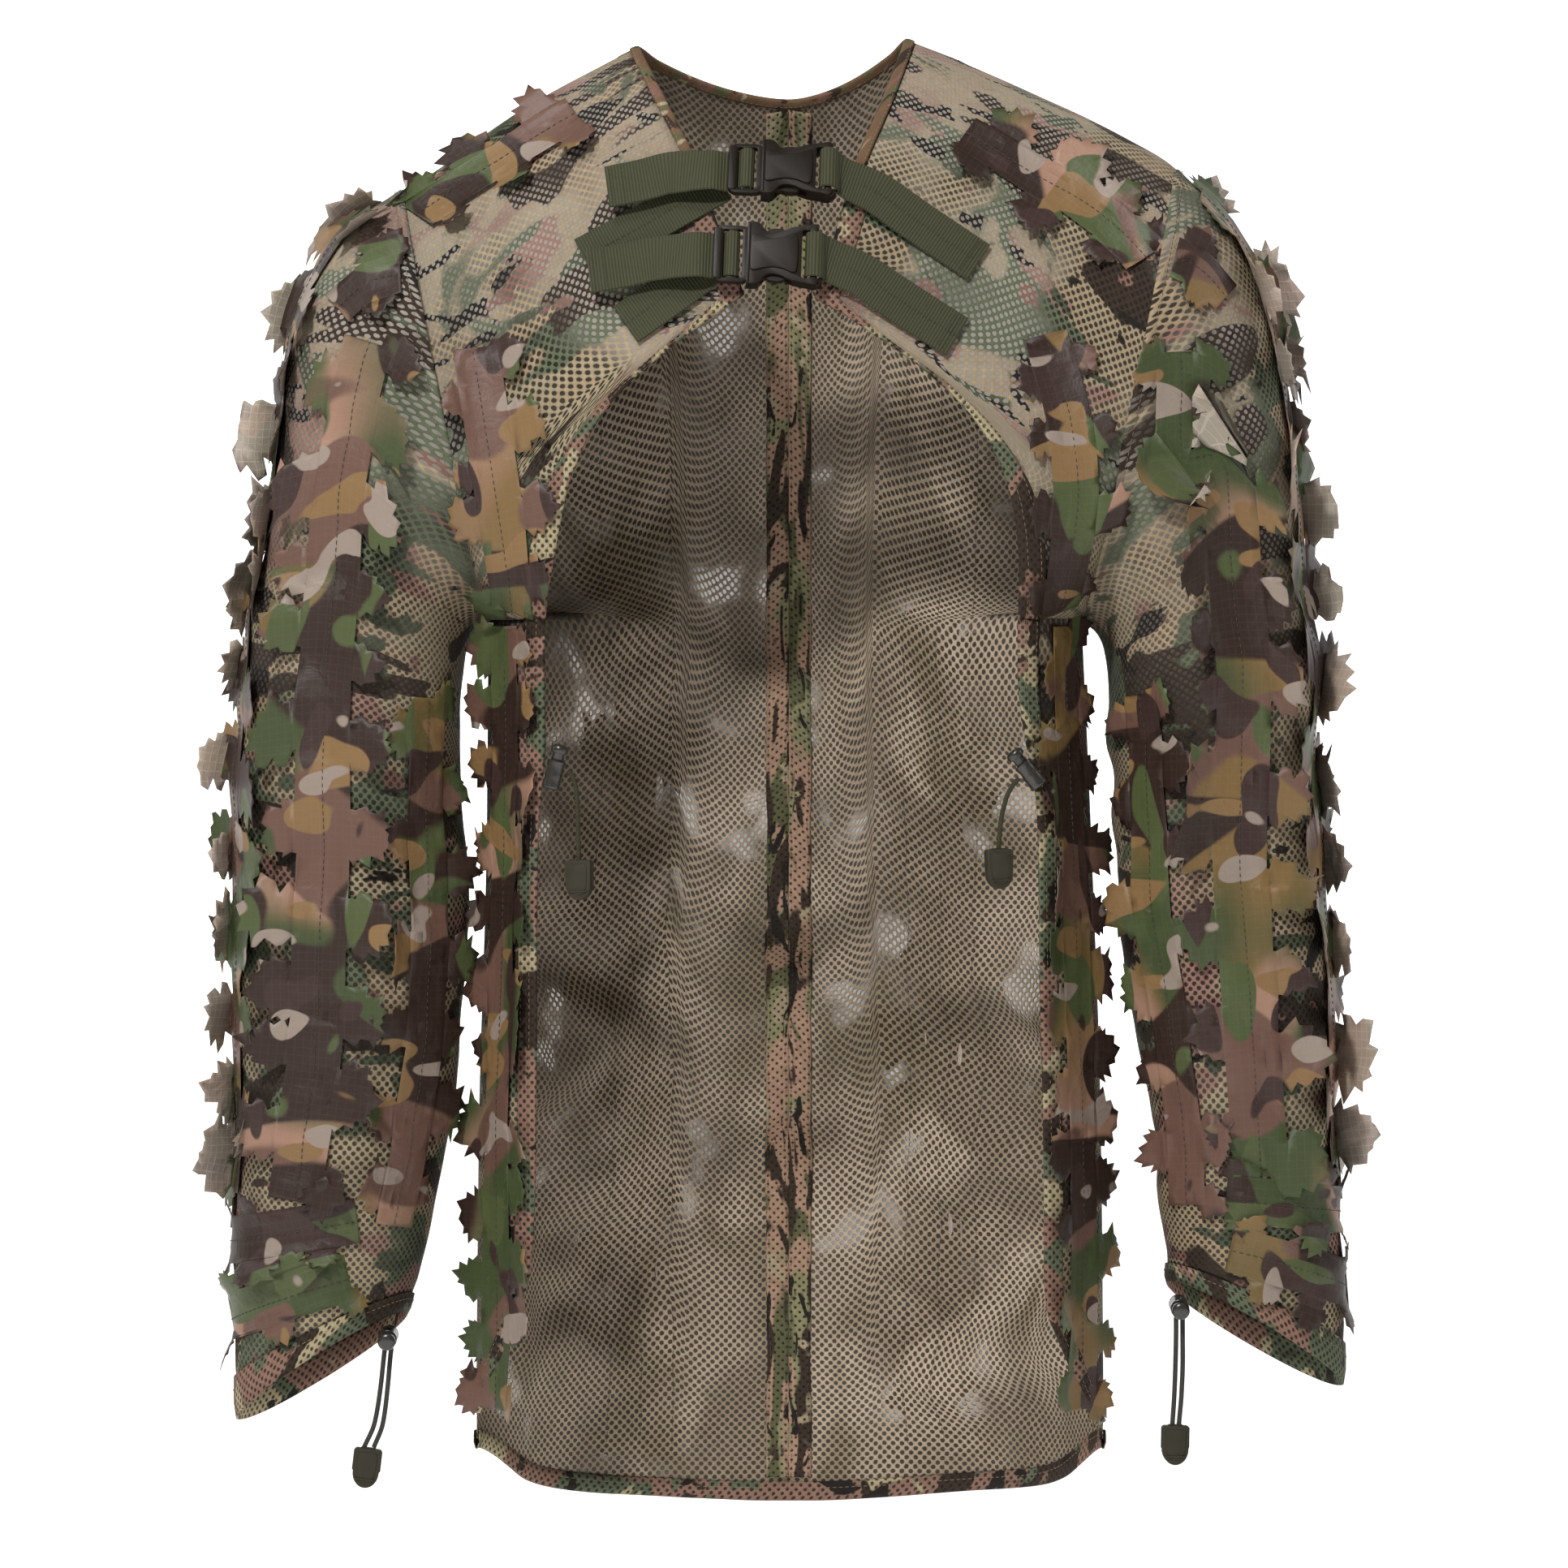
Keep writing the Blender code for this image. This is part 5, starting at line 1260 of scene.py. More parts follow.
def flat_strip(rng, length, reach, pitch, band=0.0060, spacing=0.0046, sides=(-1, 1), ends=0.6, lean=0.5):
    """The cut of a strip in its own plane (s along the stitch line, w across): points and triangles."""
    polygons = [[(0.0, -band), (length, -band), (length, band), (0.0, band)]]
    for sign in sides:
        s = rng.uniform(0.0, pitch * 0.5)
        while s < length:
            r = (reach - band * 0.6) * rng.uniform(0.62, 1.04)
            if s < 0.03 or s > length - 0.03:
                r *= ends + (1 - ends) * 0.5
            w = (0.55 * r + 0.45 * (reach - band * 0.6)) * rng.uniform(0.42, 0.66)
            leaf = leaf_polygon(rng, r, w, rng.uniform(-lean, lean))
            polygons.append([(min(max(s + x, -0.012), length + 0.012), sign * (band * 0.6 + y)) for x, y in leaf])
            s += pitch * rng.uniform(0.75, 1.25)
    verts, faces = [], []
    for polygon in polygons:
        faces.append(list(range(len(verts), len(verts) + len(polygon))))
        verts += [Vector(p) for p in polygon]
    count = len(verts)
    top = max(abs(v.y) for v in verts)
    for i in range(int((length + 0.024) / spacing) + 1):
        for j in range(int(2 * top / spacing) + 1):
            verts.append(Vector((-0.012 + (i + 0.5 * (j % 2)) * spacing + rng.uniform(-0.2, 0.2) * spacing, -top + j * spacing + rng.uniform(-0.2, 0.2) * spacing)))
    out = delaunay_2d_cdt(verts, [], faces, 0, 1e-5, False)
    points = np.array([tuple(v) for v in out[0]])
    tri = np.array([list(f) for f in out[2]])
    middle = points[tri].mean(1)
    inside = np.zeros(len(tri), bool)
    for polygon in polygons:
        p = np.array(polygon)
        near = np.nonzero(((middle >= p.min(0)) & (middle <= p.max(0))).all(1))[0]
        x, y = middle[near, 0][:, None], middle[near, 1][:, None]
        q = np.roll(p, -1, 0)
        crosses = ((p[:, 1] > y) != (q[:, 1] > y)) & (x < (q[:, 0] - p[:, 0]) * (y - p[:, 1]) / (q[:, 1] - p[:, 1] + 1e-15) + p[:, 0])
        inside[near] |= crosses.sum(1) % 2 == 1
    tri = tri[inside]
    size = points[tri]
    flat_area = np.abs((size[:, 1, 0] - size[:, 0, 0]) * (size[:, 2, 1] - size[:, 0, 1]) - (size[:, 1, 1] - size[:, 0, 1]) * (size[:, 2, 0] - size[:, 0, 0]))
    triangles = tri[flat_area > 1e-10].tolist()
    used = sorted({i for f in triangles for i in f})
    at = {v: i for i, v in enumerate(used)}
    return points[used], [[at[i] for i in f] for f in triangles]


STRIP_SEED = [100]


def leaf_strip(name, surface, uvs, reach, pitch, node=None, base=0.0011, curl=(6.0, 46.0), lift=0.016, sides=(-1, 1), band=0.012, lean=0.45, wrap=0.016, spacing=None):
    """A strip of cut leaves sewn along its middle: uvs are the stitch line's (u, v) stations on the surface."""
    STRIP_SEED[0] += 1
    seed = STRIP_SEED[0]
    rng = random.Random(seed)
    stations = np.array(uvs, float)
    tt = np.linspace(0, 1, 300)
    given = np.linspace(0, 1, len(stations))
    lines = [smooth(list(zip(given, stations[:, i]))) for i in (0, 1)]
    uv = np.array([[line(t) for line in lines] for t in tt])
    P, N = surface.at(uv[:, 0], uv[:, 1])
    s = np.concatenate([[0], np.cumsum(np.linalg.norm(np.diff(P, axis=0), axis=1))])
    length = s[-1]
    T = unit(np.gradient(P, axis=0))
    B = unit(np.cross(N, T))
    e = 0.01
    Pu = (surface.at(uv[:, 0] + e, uv[:, 1])[0] - surface.at(uv[:, 0] - e, uv[:, 1])[0]) / (2 * e)
    Pv = (surface.at(uv[:, 0], uv[:, 1] + e)[0] - surface.at(uv[:, 0], uv[:, 1] - e)[0]) / (2 * e)
    J = np.stack([Pu, Pv], -1)
    G = np.array([np.linalg.lstsq(j, b, rcond=None)[0] for j, b in zip(J, B)])
    kernel = np.ones(25) / 25
    G = np.stack([np.convolve(np.pad(G[:, i], 12, mode="edge"), kernel, "valid") for i in (0, 1)], -1)
    flat, triangles = flat_strip(rng, length, reach, pitch, spacing=spacing or (0.0046), sides=sides, lean=lean, band=band)
    S, W = flat[:, 0], flat[:, 1]
    cs = np.clip(S, 0, length)
    sign = np.sign(W)
    over = np.maximum(np.abs(W) - 0.0055, 0)
    bend = noise(np.stack([S * 17.0, sign * 3.7 + 9.0, np.full_like(S, seed * 1.7)], -1), seed)
    bend = curl[0] + (curl[1] - curl[0]) * np.clip(bend * 0.9 + 0.45, 0, 1) ** 1.6
    angle = np.clip(bend * over, 0, 1.9)
    side_way = np.where(angle > 1e-4, np.sin(angle) / np.maximum(bend, 1e-6), over)
    height = np.where(angle > 1e-4, (1 - np.cos(angle)) / np.maximum(bend, 1e-6), 0)
    side_way = np.minimum(np.abs(W), 0.0055) + side_way
    height = height + 0.10 * over
    flutter = noise(np.stack([S * 42.0, W * 42.0, np.full_like(S, seed * 0.9)], -1), seed + 1)
    height = height + (0.0024 * flutter + 0.0010) * np.clip(over / 0.012, 0, 1)
    height = lift * np.tanh(height / lift)
    pucker = np.exp(-np.abs(W) / 0.010) * noise(np.stack([S * 105.0, sign * 5 + 2, np.full_like(S, seed * 0.3)], -1), seed + 2)
    total = base + height + 0.0009 * pucker * np.clip(np.abs(W) / 0.003, 0, 1)
    across_w = sign * side_way
    held = np.clip(across_w, -wrap, wrap)
    u0, v0 = np.interp(cs, s, uv[:, 0]), np.interp(cs, s, uv[:, 1])
    gu, gv = np.interp(cs, s, G[:, 0]), np.interp(cs, s, G[:, 1])
    Q, Qn = surface.at(u0 + gu * held, v0 + gv * held)
    ahead, behind = surface.at(u0 + gu * (held + 0.003), v0 + gv * (held + 0.003))[0], surface.at(u0 + gu * (held - 0.003), v0 + gv * (held - 0.003))[0]
    Q = Q + unit(ahead - behind) * (across_w - held)[:, None]
    tan = np.stack([np.interp(cs, s, T[:, i]) for i in range(3)], -1)
    Q = Q + tan * (S - cs)[:, None] + Qn * total[:, None]
    tri = np.array(triangles)
    n = np.cross(Q[tri[:, 1]] - Q[tri[:, 0]], Q[tri[:, 2]] - Q[tri[:, 0]])
    if ((n * Qn[tri[:, 0]]).sum(-1) > 0).mean() < 0.5:
        tri = tri[:, ::-1]
    shift = np.array([seed * 0.631, seed * 0.377])
    obj = new_mesh(name, Q, tri.tolist(), flat + shift, [LEAF_OUT, LEAF_IN])
    m = obj.modifiers.new("Thickness", "SOLIDIFY")
    m.thickness, m.offset, m.material_offset = 0.00028, -1.0, 1
    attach(obj, "root")
    if node:
        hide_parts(node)
    a, b, c = flat[tri[:, 0]], flat[tri[:, 1]], flat[tri[:, 2]]
    area = float(np.abs((b - a)[:, 0] * (c - a)[:, 1] - (b - a)[:, 1] * (c - a)[:, 0]).sum() / 2)
    wide, long = float(np.ptp(flat[:, 1])), float(np.ptp(flat[:, 0]))
    SHEETS.append((name, round(wide, 4), round(long, 4), round(area, 5), round(area_of(obj) / area, 2)))
    stitches(f"{name}_thread", P + N * (base - 0.0002), N, pitch=0.0036, length=0.0026, lift=0.0003, radius=0.00028, mat=THREAD_DARK)
    return obj


for side in (RIGHT, LEFT):
    name = SIDE[side]
    front, back = TORSO[side, -1], TORSO[side, 1]
    leaf_strip(f"leaves_back_{name}", back, [(across(side, t, 0.085), t) for t in spread(0.05, 1.70, 12)], 0.048, 0.046, f"leaf_strip_back_{name}", lift=0.010)
    leaf_strip(f"leaves_side_{name}", front, [(1.16, t) for t in spread(0.06, 0.99, 8)], 0.038, 0.036, f"leaf_strip_side_{name}", lift=0.015)
    chest_line = {RIGHT: [(1.10, t) for t in spread(1.06, 1.52, 6)], LEFT: [(1.12, 1.06), (1.13, 1.17), (1.12, 1.28), (1.02, 1.38), (0.84, 1.47)]}[side]
    leaf_strip(f"leaves_chest_{name}", front, chest_line, 0.034, 0.036, f"leaf_strip_chest_{name}", lift=0.015)
    stations = {RIGHT: [(-0.112, -0.020), (-0.145, -0.040), (-0.172, -0.058), (-0.196, -0.076)], LEFT: [(0.092, -0.032), (0.124, -0.052), (0.154, -0.069), (0.186, -0.100)]}[side]
    leaf_strip(f"leaves_shoulder_{name}", front, [torso_at(side, -1, x, z) for x, z in stations], 0.038, 0.036, f"leaf_strip_shoulder_{name}", lift=0.015)
    sl, sleeve_on = SLEEVE[side], [f"sleeve_mesh_{name}"]
    front_line = {
        RIGHT: ((0.11, 1.16), (0.25, 1.32), (0.40, 1.36), (0.55, 1.40), (0.70, 1.36), (0.82, 1.26)),
        LEFT: ((0.09, 1.30), (0.18, 1.62), (0.30, 1.30), (0.48, 1.34), (0.64, 1.46), (0.82, 1.52)),
    }[side]
    leaf_strip(f"leaves_sleeve_front_{name}", sl, [(f, k) for k, f in front_line], 0.046, 0.046, f"leaf_strip_sleeve_front_{name}", band=0.014)
    leaf_strip(f"leaves_sleeve_outer_{name}", sl, [(f, k) for k, f in ((0.05, 0.34), (0.20, 0.26), (0.40, 0.28), (0.60, 0.26), (0.81, 0.26))], 0.048, 0.046, f"leaf_strip_sleeve_outer_{name}", lift=0.022, curl=(5.0, 45.0))
    leaf_strip(f"leaves_cap_{name}", sl, [(f, k) for k, f in ((0.015, 0.95), (0.07, 0.90), (0.15, 0.84))], 0.034, 0.040)
    leaf_strip(f"leaves_cuff_{name}", sl, [(f, 0.915) for f in spread(0.1, 1.9, 6)], 0.034, 0.036, f"leaf_strip_cuff_{name}", lift=0.010)
    leaf_strip(f"leaves_cuff_upper_{name}", sl, [(f, 0.848) for f in spread(0.0, 1.9, 6)], 0.032, 0.040, lift=0.010)
    leaf_strip(f"leaves_sleeve_inner_{name}", sl, [(2.35, k) for k in spread(0.42, 0.86, 5)], 0.038, 0.044)
    leaf_strip(f"leaves_sleeve_rear_{name}", sl, [(-0.35, k) for k in spread(0.06, 0.84, 6)], 0.050, 0.048, lift=0.030, curl=(10.0, 60.0))
    leaf_strip(f"leaves_sleeve_back_{name}", sl, [(-1.25, k) for k in spread(0.08, 0.86, 6)], 0.042, 0.044)


# ---- webbing -----------------------------------------------------------------------------------------------
def on_cloth(side, x, z, lift):
    a, t = torso_at(side, -1, x, z)
    p, n = TORSO[side, -1].at(a, t)
    return Vector(p) + Vector(n) * lift, Vector(n)


def web(name, sections, body, node=None, ends=True, width=WEB, thick=WEB_THICK, ripple=0.0, seed=1):
    """Flat webbing through (centre, normal) sections, with rounded edges and UVs in metres."""
    lengths = [0.0]
    for (p, _), (q, _) in zip(sections, sections[1:]):
        lengths.append(lengths[-1] + (q - p).length)
    lines = [smooth(list(zip(lengths, [s[j][i] for s in sections]))) for j in (0, 1) for i in range(3)]
    count = max(int(lengths[-1] / 0.0012), 12)
    ds = spread(0, lengths[-1], count)
    C = np.array([[line(d) for line in lines[:3]] for d in ds])
    N = unit(np.array([[line(d) for line in lines[3:]] for d in ds]))
    for _ in range(2):
        C[1:-1] = (C[:-2] + 2 * C[1:-1] + C[2:]) / 4
    along = unit(np.gradient(C, axis=0))
    B = unit(np.cross(N, along))
    N = unit(np.cross(along, B))
    s = np.concatenate([[0], np.cumsum(np.linalg.norm(np.diff(C, axis=0), axis=1))])
    C = C + N * (ripple * noise1(s * 40.0, seed))[:, None]
    w, h = width / 2, thick / 2
    ring = [(-w + h * 0.6, h), (-w * 0.5, h), (0, h), (w * 0.5, h), (w - h * 0.6, h), (w, 0), (w - h * 0.6, -h), (w * 0.5, -h), (0, -h), (-w * 0.5, -h), (-w + h * 0.6, -h), (-w, 0)]
    verts, uvs = [], []
    for c, b, n, d in zip(C, B, N, s):
        for x, y in ring:
            verts.append(c + b * x + n * y)
            uvs.append((x + (0.06 if y < 0 else 0.0) + seed * 0.1, d))
    k = len(ring)
    faces = [(i * k + j, i * k + (j + 1) % k, (i + 1) * k + (j + 1) % k, (i + 1) * k + j) for i in range(count - 1) for j in range(k)]
    n_side = len(faces)
    faces += [tuple(reversed(range(k))), tuple((count - 1) * k + j for j in range(k))]
    obj = new_mesh(name, verts, faces, uvs, [WEB_MAT, WEB_CUT], [0] * n_side + [1, 1])
    bm = bmesh.new()
    bm.from_mesh(obj.data)
    bmesh.ops.recalc_face_normals(bm, faces=bm.faces)
    bm.to_mesh(obj.data)
    bm.free()
    obj.data.set_sharp_from_angle(angle=math.radians(50))
    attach(obj, body)
    if node:
        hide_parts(node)
    SHEETS.append((name, width, round(float(s[-1]), 4), round(width * float(s[-1]), 5)))
    return obj, C, N, B


WEB_CUT = plain("webbing_cut_end", rgb("#14130a"), 0.8, 1500.0, 0.0003)
THREAD_OLIVE = plain("sewing_thread_olive", rgb("#23240f"), 0.7, 3000.0, 0.0001)
STRAP_ENDS = {"upper": ((0.0976, -0.1030), (-0.0920, -0.0665), (-0.1060, -0.1005)), "lower": ((0.0860, -0.1430), (-0.1020, -0.1110), (-0.0840, -0.1360))}


def soft_edges(obj, width, segments=3):
    b = obj.modifiers.new("Edges", "BEVEL")
    b.width, b.segments, b.limit_method, b.angle_limit = width, segments, "ANGLE", math.radians(28)
    b.use_clamp_overlap = True
    apply(obj)
    obj.data.shade_smooth()
    obj.data.set_sharp_from_angle(angle=math.radians(38))
    return obj


def denser(half, steps=4):
    """An outline's upper half rounded through its points."""
    pts = [Vector((x, y, 0)) for x, y in half]
    out = []
    for i in range(len(pts) - 1):
        p0, p1, p2, p3 = pts[max(i - 1, 0)], pts[i], pts[i + 1], pts[min(i + 2, len(pts) - 1)]
        for k in range(steps):
            u = k / steps
            q = 0.5 * (2 * p1 + (p2 - p0) * u + (2 * p0 - 5 * p1 + 4 * p2 - p3) * u * u + (3 * p1 - p0 - 3 * p2 + p3) * u**3)
            out.append((q.x, q.y))
    return out + [half[-1]]


for which in ("upper", "lower"):
    place = buckle_frame(which)
    latch = f"{which}_latch"
    male = prism(f"{which}_male_moulded", mirrored(MALE_HALF), -MALE_T / 2, MALE_T / 2, PLASTIC, place)
    slots = [prism(f"cut_{i}", rounded(low, high, -0.0132, 0.0132, 0.0010, 4), -0.01, 0.01, PLASTIC, place) for i, (low, high) in enumerate(((-0.0120, -0.0088), (-0.0052, -0.0020)))]
    cut(male, *slots)
    soft_edges(male, 0.0005, 3)
    parts = [male]
    for sign in (1, -1):
        pad = [(0.0112 + 0.0044 * (1 + math.cos(b)) / 1.0 - 0.0002, sign * (0.0131 + 0.0013 * math.sin(b))) for b in [2 * math.pi * i / 20 for i in range(20)]]
        parts.append(prism(f"pad_{sign}", pad[:: sign] if sign > 0 else pad[::-1], -0.00185, 0.00185, PLASTIC, place))
    parts.append(soft_edges(prism("outer_rib", rounded(-0.0168, -0.0126, -0.0140, 0.0140, 0.0012, 4), 0.0008, 0.0024, PLASTIC, place), 0.0005))
    obj = join(f"{which}_buckle_male_shell", parts)
    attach(obj, latch)
    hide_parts(f"{which}_buckle_male")

    female = prism(f"{which}_female_moulded", mirrored(denser(FEMALE_HALF, 3)), -BUCKLE_T / 2, BUCKLE_T / 2, PLASTIC, place)
    cut(
        female,
        prism("cut_a", rounded(-0.0050, 0.0240, -0.0151, 0.0151, 0.0010), -CAVITY_T / 2, CAVITY_T / 2, PLASTIC, place),
        prism("cut_b", rounded(0.0285, 0.0330, -0.0131, 0.0131, 0.0010, 4), -0.01, 0.01, PLASTIC, place),
    )
    soft_edges(female, 0.0009, 3)
    plateau_half = [(0.0022, 0), (0.0022, 0.0080), (0.0040, 0.0098), (0.0090, 0.0086), (0.0135, 0.0078), (0.0190, 0.0086), (0.0240, 0.0104), (0.0262, 0.0090), (0.0268, 0)]
    plateau = soft_edges(prism("plateau", mirrored(denser(plateau_half, 5)), BUCKLE_T / 2 - 0.0012, BUCKLE_T / 2 + 0.0010, PLASTIC, place), 0.0009, 4)
    lip = soft_edges(prism("lip", rounded(0.0006, 0.0020, -0.0160, 0.0160, 0.0006), BUCKLE_T / 2 - 0.0010, BUCKLE_T / 2 + 0.0004, PLASTIC, place), 0.0003, 2)
    ends_bar = soft_edges(prism("end_bar", rounded(0.0336, 0.0364, -0.0140, 0.0140, 0.0012, 4), BUCKLE_T / 2 - 0.0014, BUCKLE_T / 2 + 0.0002, PLASTIC, place), 0.0006, 3)
    hook = [(0.0300, -0.0150), (0.0375, -0.0168), (0.0392, -0.0150), (0.0388, -0.0118), (0.0372, -0.0122), (0.0362, -0.0142), (0.0310, -0.0138)]
    hook = soft_edges(prism("hook", hook, -0.0022, 0.0030, PLASTIC, place), 0.0007, 3)
    obj = join(f"{which}_buckle_female_shell", [female, plateau, lip, ends_bar, hook])
    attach(obj, "root")
    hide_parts(f"{which}_buckle_female")

    def local(x, z, n=(0, 0, 1), which=which):
        m = buckle_frame(which)
        return m @ Vector((x, 0, z)), (m.to_3x3() @ Vector(n)).normalized()

    (lx, lz), (tx, tz), (bx, bz) = STRAP_ENDS[which]
    start = local(0.0400, -0.0040)[0]
    loop = [local(0.0308, -0.0040, (-1, 0, 0)), local(0.0308, 0.0010, (-1, 0, 0.1)), local(0.0313, 0.0042, (-0.7, 0, 0.7)), local(0.0334, 0.0056), local(0.0366, 0.0055, (0.25, 0, 1)), local(0.0392, 0.0030, (0.75, 0, 0.6)), local(0.0412, -0.0012, (0.45, 0, 0.9))]
    laid = [on_cloth(LEFT, in_turn(start[0] + 0.004, lx, u), in_turn(start[2], lz, u), h) for u, h in ((0.22, 0.0046), (0.45, 0.0034), (0.7, 0.0024), (1.0, 0.0022))]
    obj, C, N, B = web(f"{which}_strap_left_web", loop + laid, "root", f"{which}_strap_left", width=0.0246, ripple=0.0003, seed=3)
    k = len(C) // 3
    stitches(f"{which}_strap_left_seam", (C + N * WEB_THICK / 2)[k:], N[k:], mat=THREAD_OLIVE, lift=0.0001, pitch=0.003, length=0.0021)
    for e, tag in ((-0.004, "a"), (-0.0065, "b")):
        i = max(int(len(C) + e / 0.0012), 1)
        line = np.array([C[i] + N[i] * WEB_THICK / 2 + B[i] * x for x in np.linspace(-0.0105, 0.0105, 12)])
        stitches(f"{which}_strap_left_bar_{tag}", line, np.repeat(N[i][None], 12, 0), mat=THREAD_OLIVE, lift=0.0001, pitch=0.0026, length=0.0019)

    m = buckle_frame(which)
    tail = [local(-0.0036, -0.0022, (1, 0, 0)), local(-0.0036, 0.0014, (1, 0, 0.3)), local(-0.0050, 0.0027, (0.4, 0, 1)), local(-0.0070, 0.0029), local(-0.0090, 0.0026, (-0.4, 0, 1)), local(-0.0104, 0.0010, (-0.8, 0, 0.5)), local(-0.0116, -0.0014, (-0.5, 0, 0.9)), local(-0.0142, -0.0027), local(-0.0180, -0.0025), local(-0.0240, -0.0008)]
    tail += [on_cloth(RIGHT, in_turn(m.translation.x - 0.026, tx, u), in_turn(m.translation.z, tz, u), h) for u, h in ((0.35, 0.0098), (0.65, 0.0092), (1.0, 0.0100))]
    obj, C, N, B = web(f"{which}_strap_tail_web", tail, latch, f"{which}_strap_tail_right", width=0.0246, ripple=0.0008, seed=4)
    for e, tag in ((-0.003, "a"), (-0.0085, "b")):
        i = max(int(len(C) + e / 0.0012), 1)
        line = np.array([C[i] + N[i] * WEB_THICK / 2 + B[i] * x for x in np.linspace(-0.0110, 0.0110, 12)])
        stitches(f"{which}_strap_tail_bar_{tag}", line, np.repeat(N[i][None], 12, 0), mat=THREAD_OLIVE, lift=0.0001, pitch=0.0024, length=0.0019, body=latch)

    start = (m.translation.x - 0.0200, m.translation.z - 0.0060)
    base = [on_cloth(RIGHT, in_turn(start[0], bx, u), in_turn(start[1], bz, u), h) for u, h in ((0, 0.0032), (0.3, 0.0026), (0.65, 0.0022), (1.0, 0.0022))]
    obj, C, N, B = web(f"{which}_strap_base_web", base, "root", f"{which}_strap_base_right", width=0.0246, ripple=0.0003, seed=5)
    stitches(f"{which}_strap_base_seam", (C + N * WEB_THICK / 2)[6:], N[6:], mat=THREAD_OLIVE, lift=0.0001, pitch=0.003, length=0.0021)


# ---- cord locks --------------------------------------------------------------------------------------------
def lathe(name, profile, mat, place, sides=36):
    points = [(0, 0, profile[0][1])]
    for r, z in profile[1:-1]:
        points += [(r * math.cos(2 * math.pi * i / sides), r * math.sin(2 * math.pi * i / sides), z) for i in range(sides)]
    points.append((0, 0, profile[-1][1]))
    rings = len(profile) - 2
    faces = [(0, 1 + (i + 1) % sides, 1 + i) for i in range(sides)]
    for j in range(rings - 1):
        for i in range(sides):
            a, b = 1 + j * sides, 1 + (j + 1) * sides
            faces.append((a + i, a + (i + 1) % sides, b + (i + 1) % sides, b + i))
    last, end = 1 + (rings - 1) * sides, len(points) - 1
    faces += [(last + i, last + (i + 1) % sides, end) for i in range(sides)]
    obj = new_mesh(name, points, faces, None, [mat])
    bm = bmesh.new()
    bm.from_mesh(obj.data)
    bmesh.ops.recalc_face_normals(bm, faces=bm.faces)
    bm.to_mesh(obj.data)
    bm.free()
    obj.matrix_world = place
    obj.data.set_sharp_from_angle(angle=math.radians(40))
    return obj


LOCKS = {
    "waist_lock_right": ((-0.1230, -0.0775, -0.3750), (0.236, 0, 0.972), (0.972, 0, -0.236)),
    "waist_lock_left": ((0.1294, -0.0775, -0.3737), (-0.62, 0, 0.78), (-0.78, 0, -0.62)),
    "cuff_lock_right": ((-0.2090, -0.0350, -0.6600), (0, -1, -0.10), (0, -0.10, 1)),
    "cuff_lock_left": ((0.2035, -0.0350, -0.6440), (0, -1, -0.10), (0, -0.10, 1)),
}
for name, (bottom, axis, hole) in LOCKS.items():
    place = frame_at(bottom, hole, axis)
    R, L, bore = LOCK_R, LOCK_L, LOCK_BORE
    barrel = lathe(
        f"{name}_barrel_raw",
        [(0, 0), (R - 0.0014, 0), (R - 0.0008, 0.0002), (R - 0.0002, 0.0006), (R, 0.0012), (R - 0.0002, 0.0022), (R - 0.0003, 0.0060), (R - 0.0001, 0.0072), (R - 0.0003, 0.0084), (R - 0.0003, 0.0130), (R, 0.0140), (R, L - 0.0004), (R - 0.0004, L), (bore + 0.0003, L), (bore, L - 0.0003), (bore, 0.0020), (0, 0.0020)],
        LOCK_MAT,
        place,
    )
    through = place @ Matrix.Translation((0, 0, 0.0105)) @ Matrix.Rotation(math.pi / 2, 4, "Y")
    cut(barrel, prism(f"hole_{name}", circle(0.0021, 24), -0.01, 0.01, LOCK_MAT, through))
    barrel.name = f"{name}_barrel_shell"
    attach(barrel, "root")
    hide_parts(f"{name}_barrel")
    plunger = lathe(
        f"{name}_plunger_raw",
        [(0, 0.0068), (0.0028, 0.0068), (0.0031, 0.0071), (0.0031, 0.0186), (0.0034, 0.0190), (0.0043, 0.0191), (0.0046, 0.0196), (0.0046, 0.0214), (0.0044, 0.0221), (0.0038, 0.0228), (0.0028, 0.0232), (0.0014, 0.0235), (0, 0.0235)],
        LOCK_MAT,
        place,
    )
    through = place @ Matrix.Translation((0, 0, 0.0120)) @ Matrix.Rotation(math.pi / 2, 4, "Y")
    cut(plunger, prism(f"hole_p_{name}", circle(0.0019, 24), -0.01, 0.01, LOCK_MAT, through))
    plunger.name = f"{name}_plunger_shell"
    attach(plunger, name.replace("lock", "button"))
    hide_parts(f"{name}_plunger")


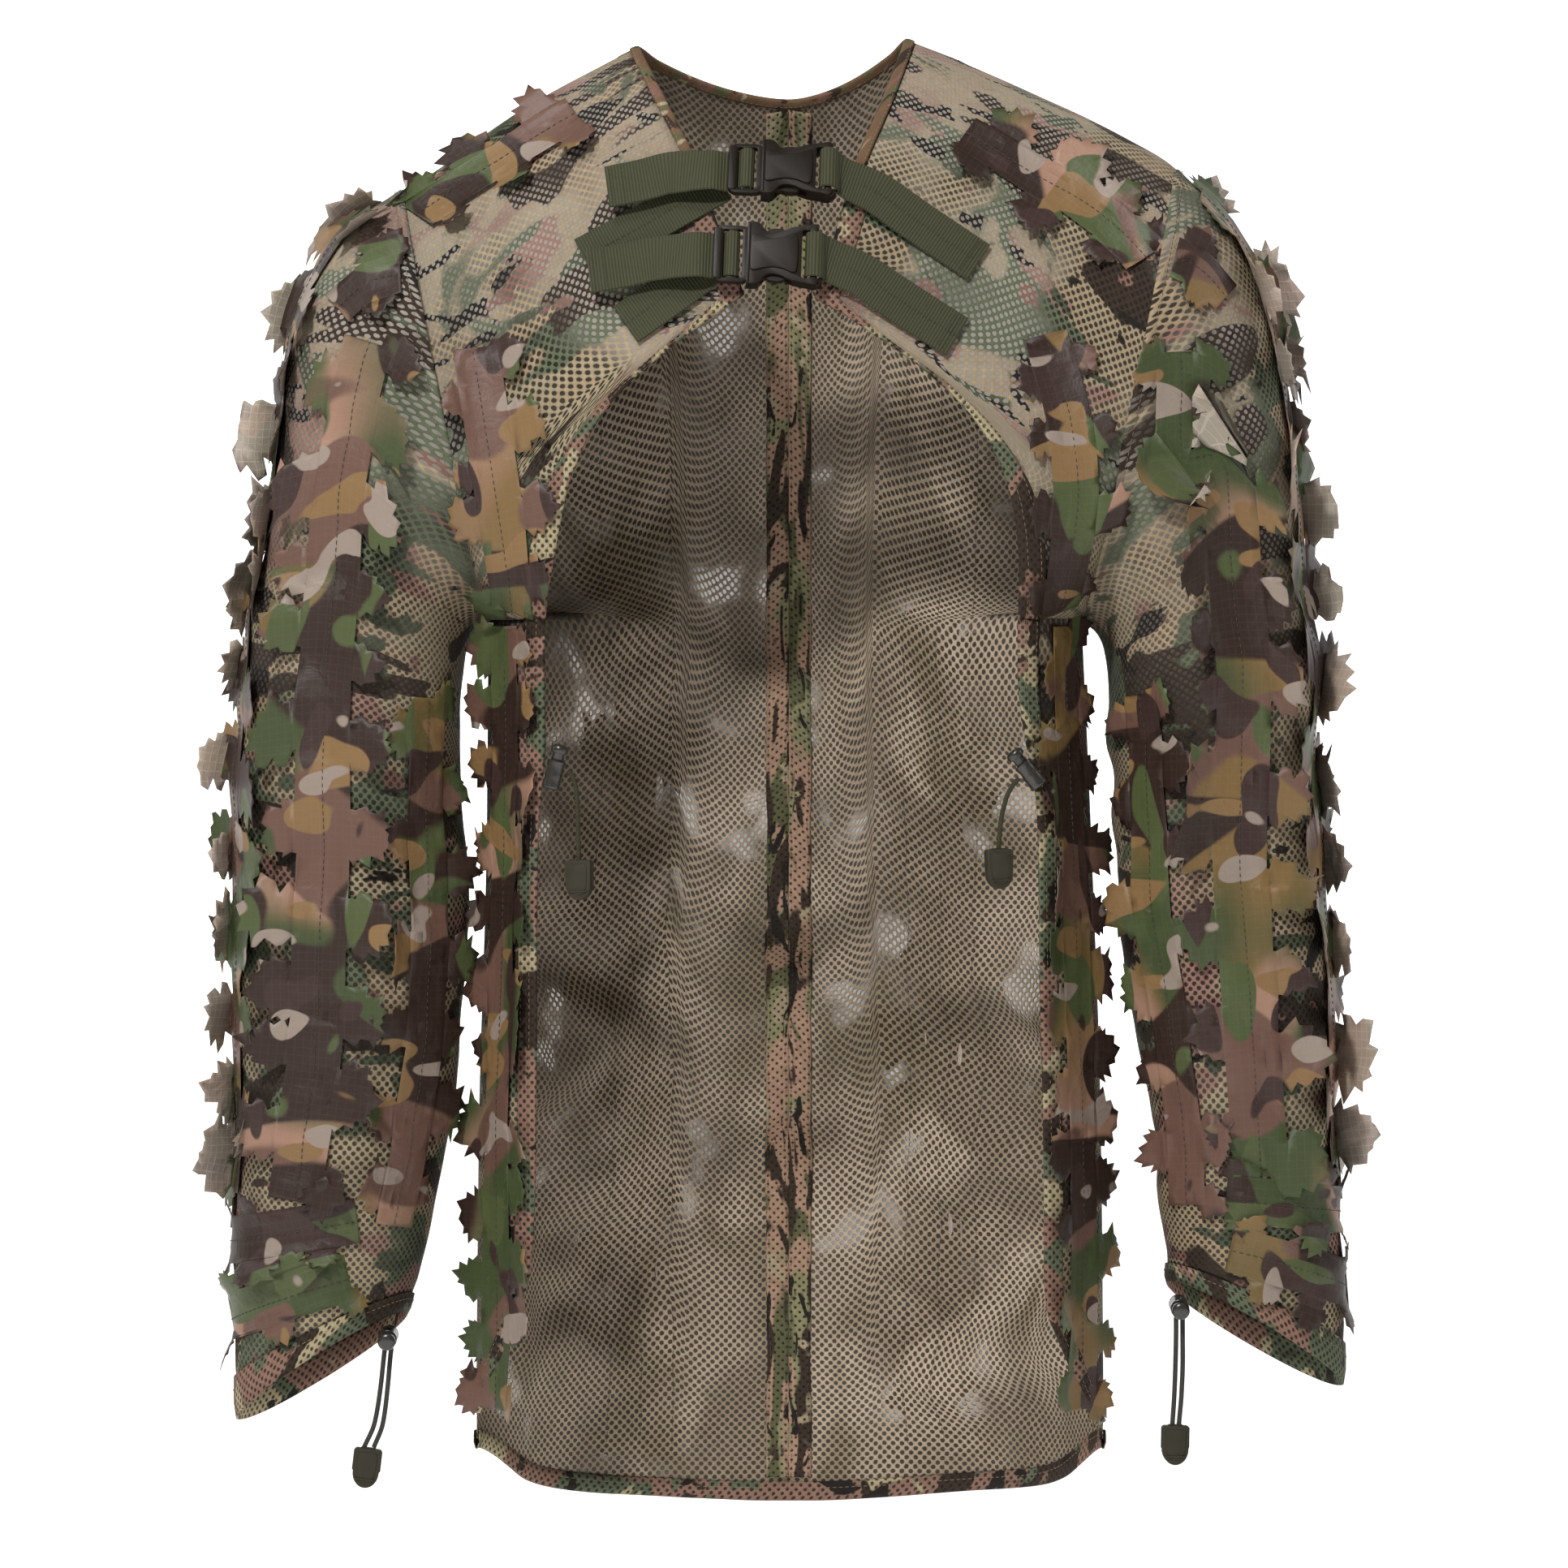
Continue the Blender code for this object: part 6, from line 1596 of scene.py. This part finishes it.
def spring(name, place, r=0.0024, wire=0.0003, low=0.00215, high=0.0066, turns=4.5):
    """A compression spring: a round wire wound about local Z, its end turns closed up."""
    steps, sides = 130, 10
    verts = []
    for i in range(steps + 1):
        s = i / steps
        w = 2 * math.pi * turns * s
        lift = in_turn(low + wire, high - wire, min(max((s - 0.16) / 0.68, 0), 1))
        centre = Vector((r * math.cos(w), r * math.sin(w), lift))
        away = Vector((math.cos(w), math.sin(w), 0))
        verts += [centre + (away * math.cos(2 * math.pi * j / sides) + Vector((0, 0, 1)) * math.sin(2 * math.pi * j / sides)) * wire for j in range(sides)]
    faces = [(i * sides + j, i * sides + (j + 1) % sides, (i + 1) * sides + (j + 1) % sides, (i + 1) * sides + j) for i in range(steps) for j in range(sides)]
    faces += [tuple(range(sides))[::-1], tuple(steps * sides + j for j in range(sides))]
    obj = new_mesh(f"{name}_spring_wire", [place @ v for v in verts], faces, None, [STEEL])
    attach(obj, "root")
    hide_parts(f"{name}_spring")
    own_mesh(obj)


for name, (bottom, axis, hole) in LOCKS.items():
    spring(name, frame_at(bottom, hole, axis))


# ---- carried-over CAD nodes and the floor -------------------------------------------------------------------
def dress(node, mat):
    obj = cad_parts[node]
    obj.data.materials.clear()
    obj.data.materials.append(mat)


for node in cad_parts:
    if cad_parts[node].hide_render:
        continue
    if "buckle" in node:
        dress(node, PLASTIC)
    elif "strap" in node:
        dress(node, WEB_MAT)
    elif node.endswith("_spring"):
        dress(node, STEEL)
    elif "lock" in node:
        dress(node, LOCK_MAT)
    else:
        dress(node, MESH_OUT)

floor_tree = Tree("floor_paper")
floor_tree.finish(Base_Color=rgb("#e9e8e6"), Roughness=0.95, Emission_Color=(1.0, 1.0, 1.0), Emission_Strength=0.62, Specular_IOR_Level=0.0)
FLOOR_MAT = floor_tree.m
floor = new_mesh("floor", [(-9, -9, -0.86), (9, -9, -0.86), (9, 9, -0.86), (-9, 9, -0.86)], [(0, 1, 2, 3)], None, [FLOOR_MAT])
backdrop_mat = Tree("backdrop_paper")
backdrop_mat.finish(Base_Color=rgb("#ffffff"), Roughness=1.0, Emission_Color=(1.0, 1.0, 1.0), Emission_Strength=1.0)
backdrop = new_mesh("backdrop", [(-7, 6, -4), (7, 6, -4), (7, 6, 6), (-7, 6, 6)], [(0, 1, 2, 3)], None, [backdrop_mat.m])
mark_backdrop(floor, backdrop)

low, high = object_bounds()
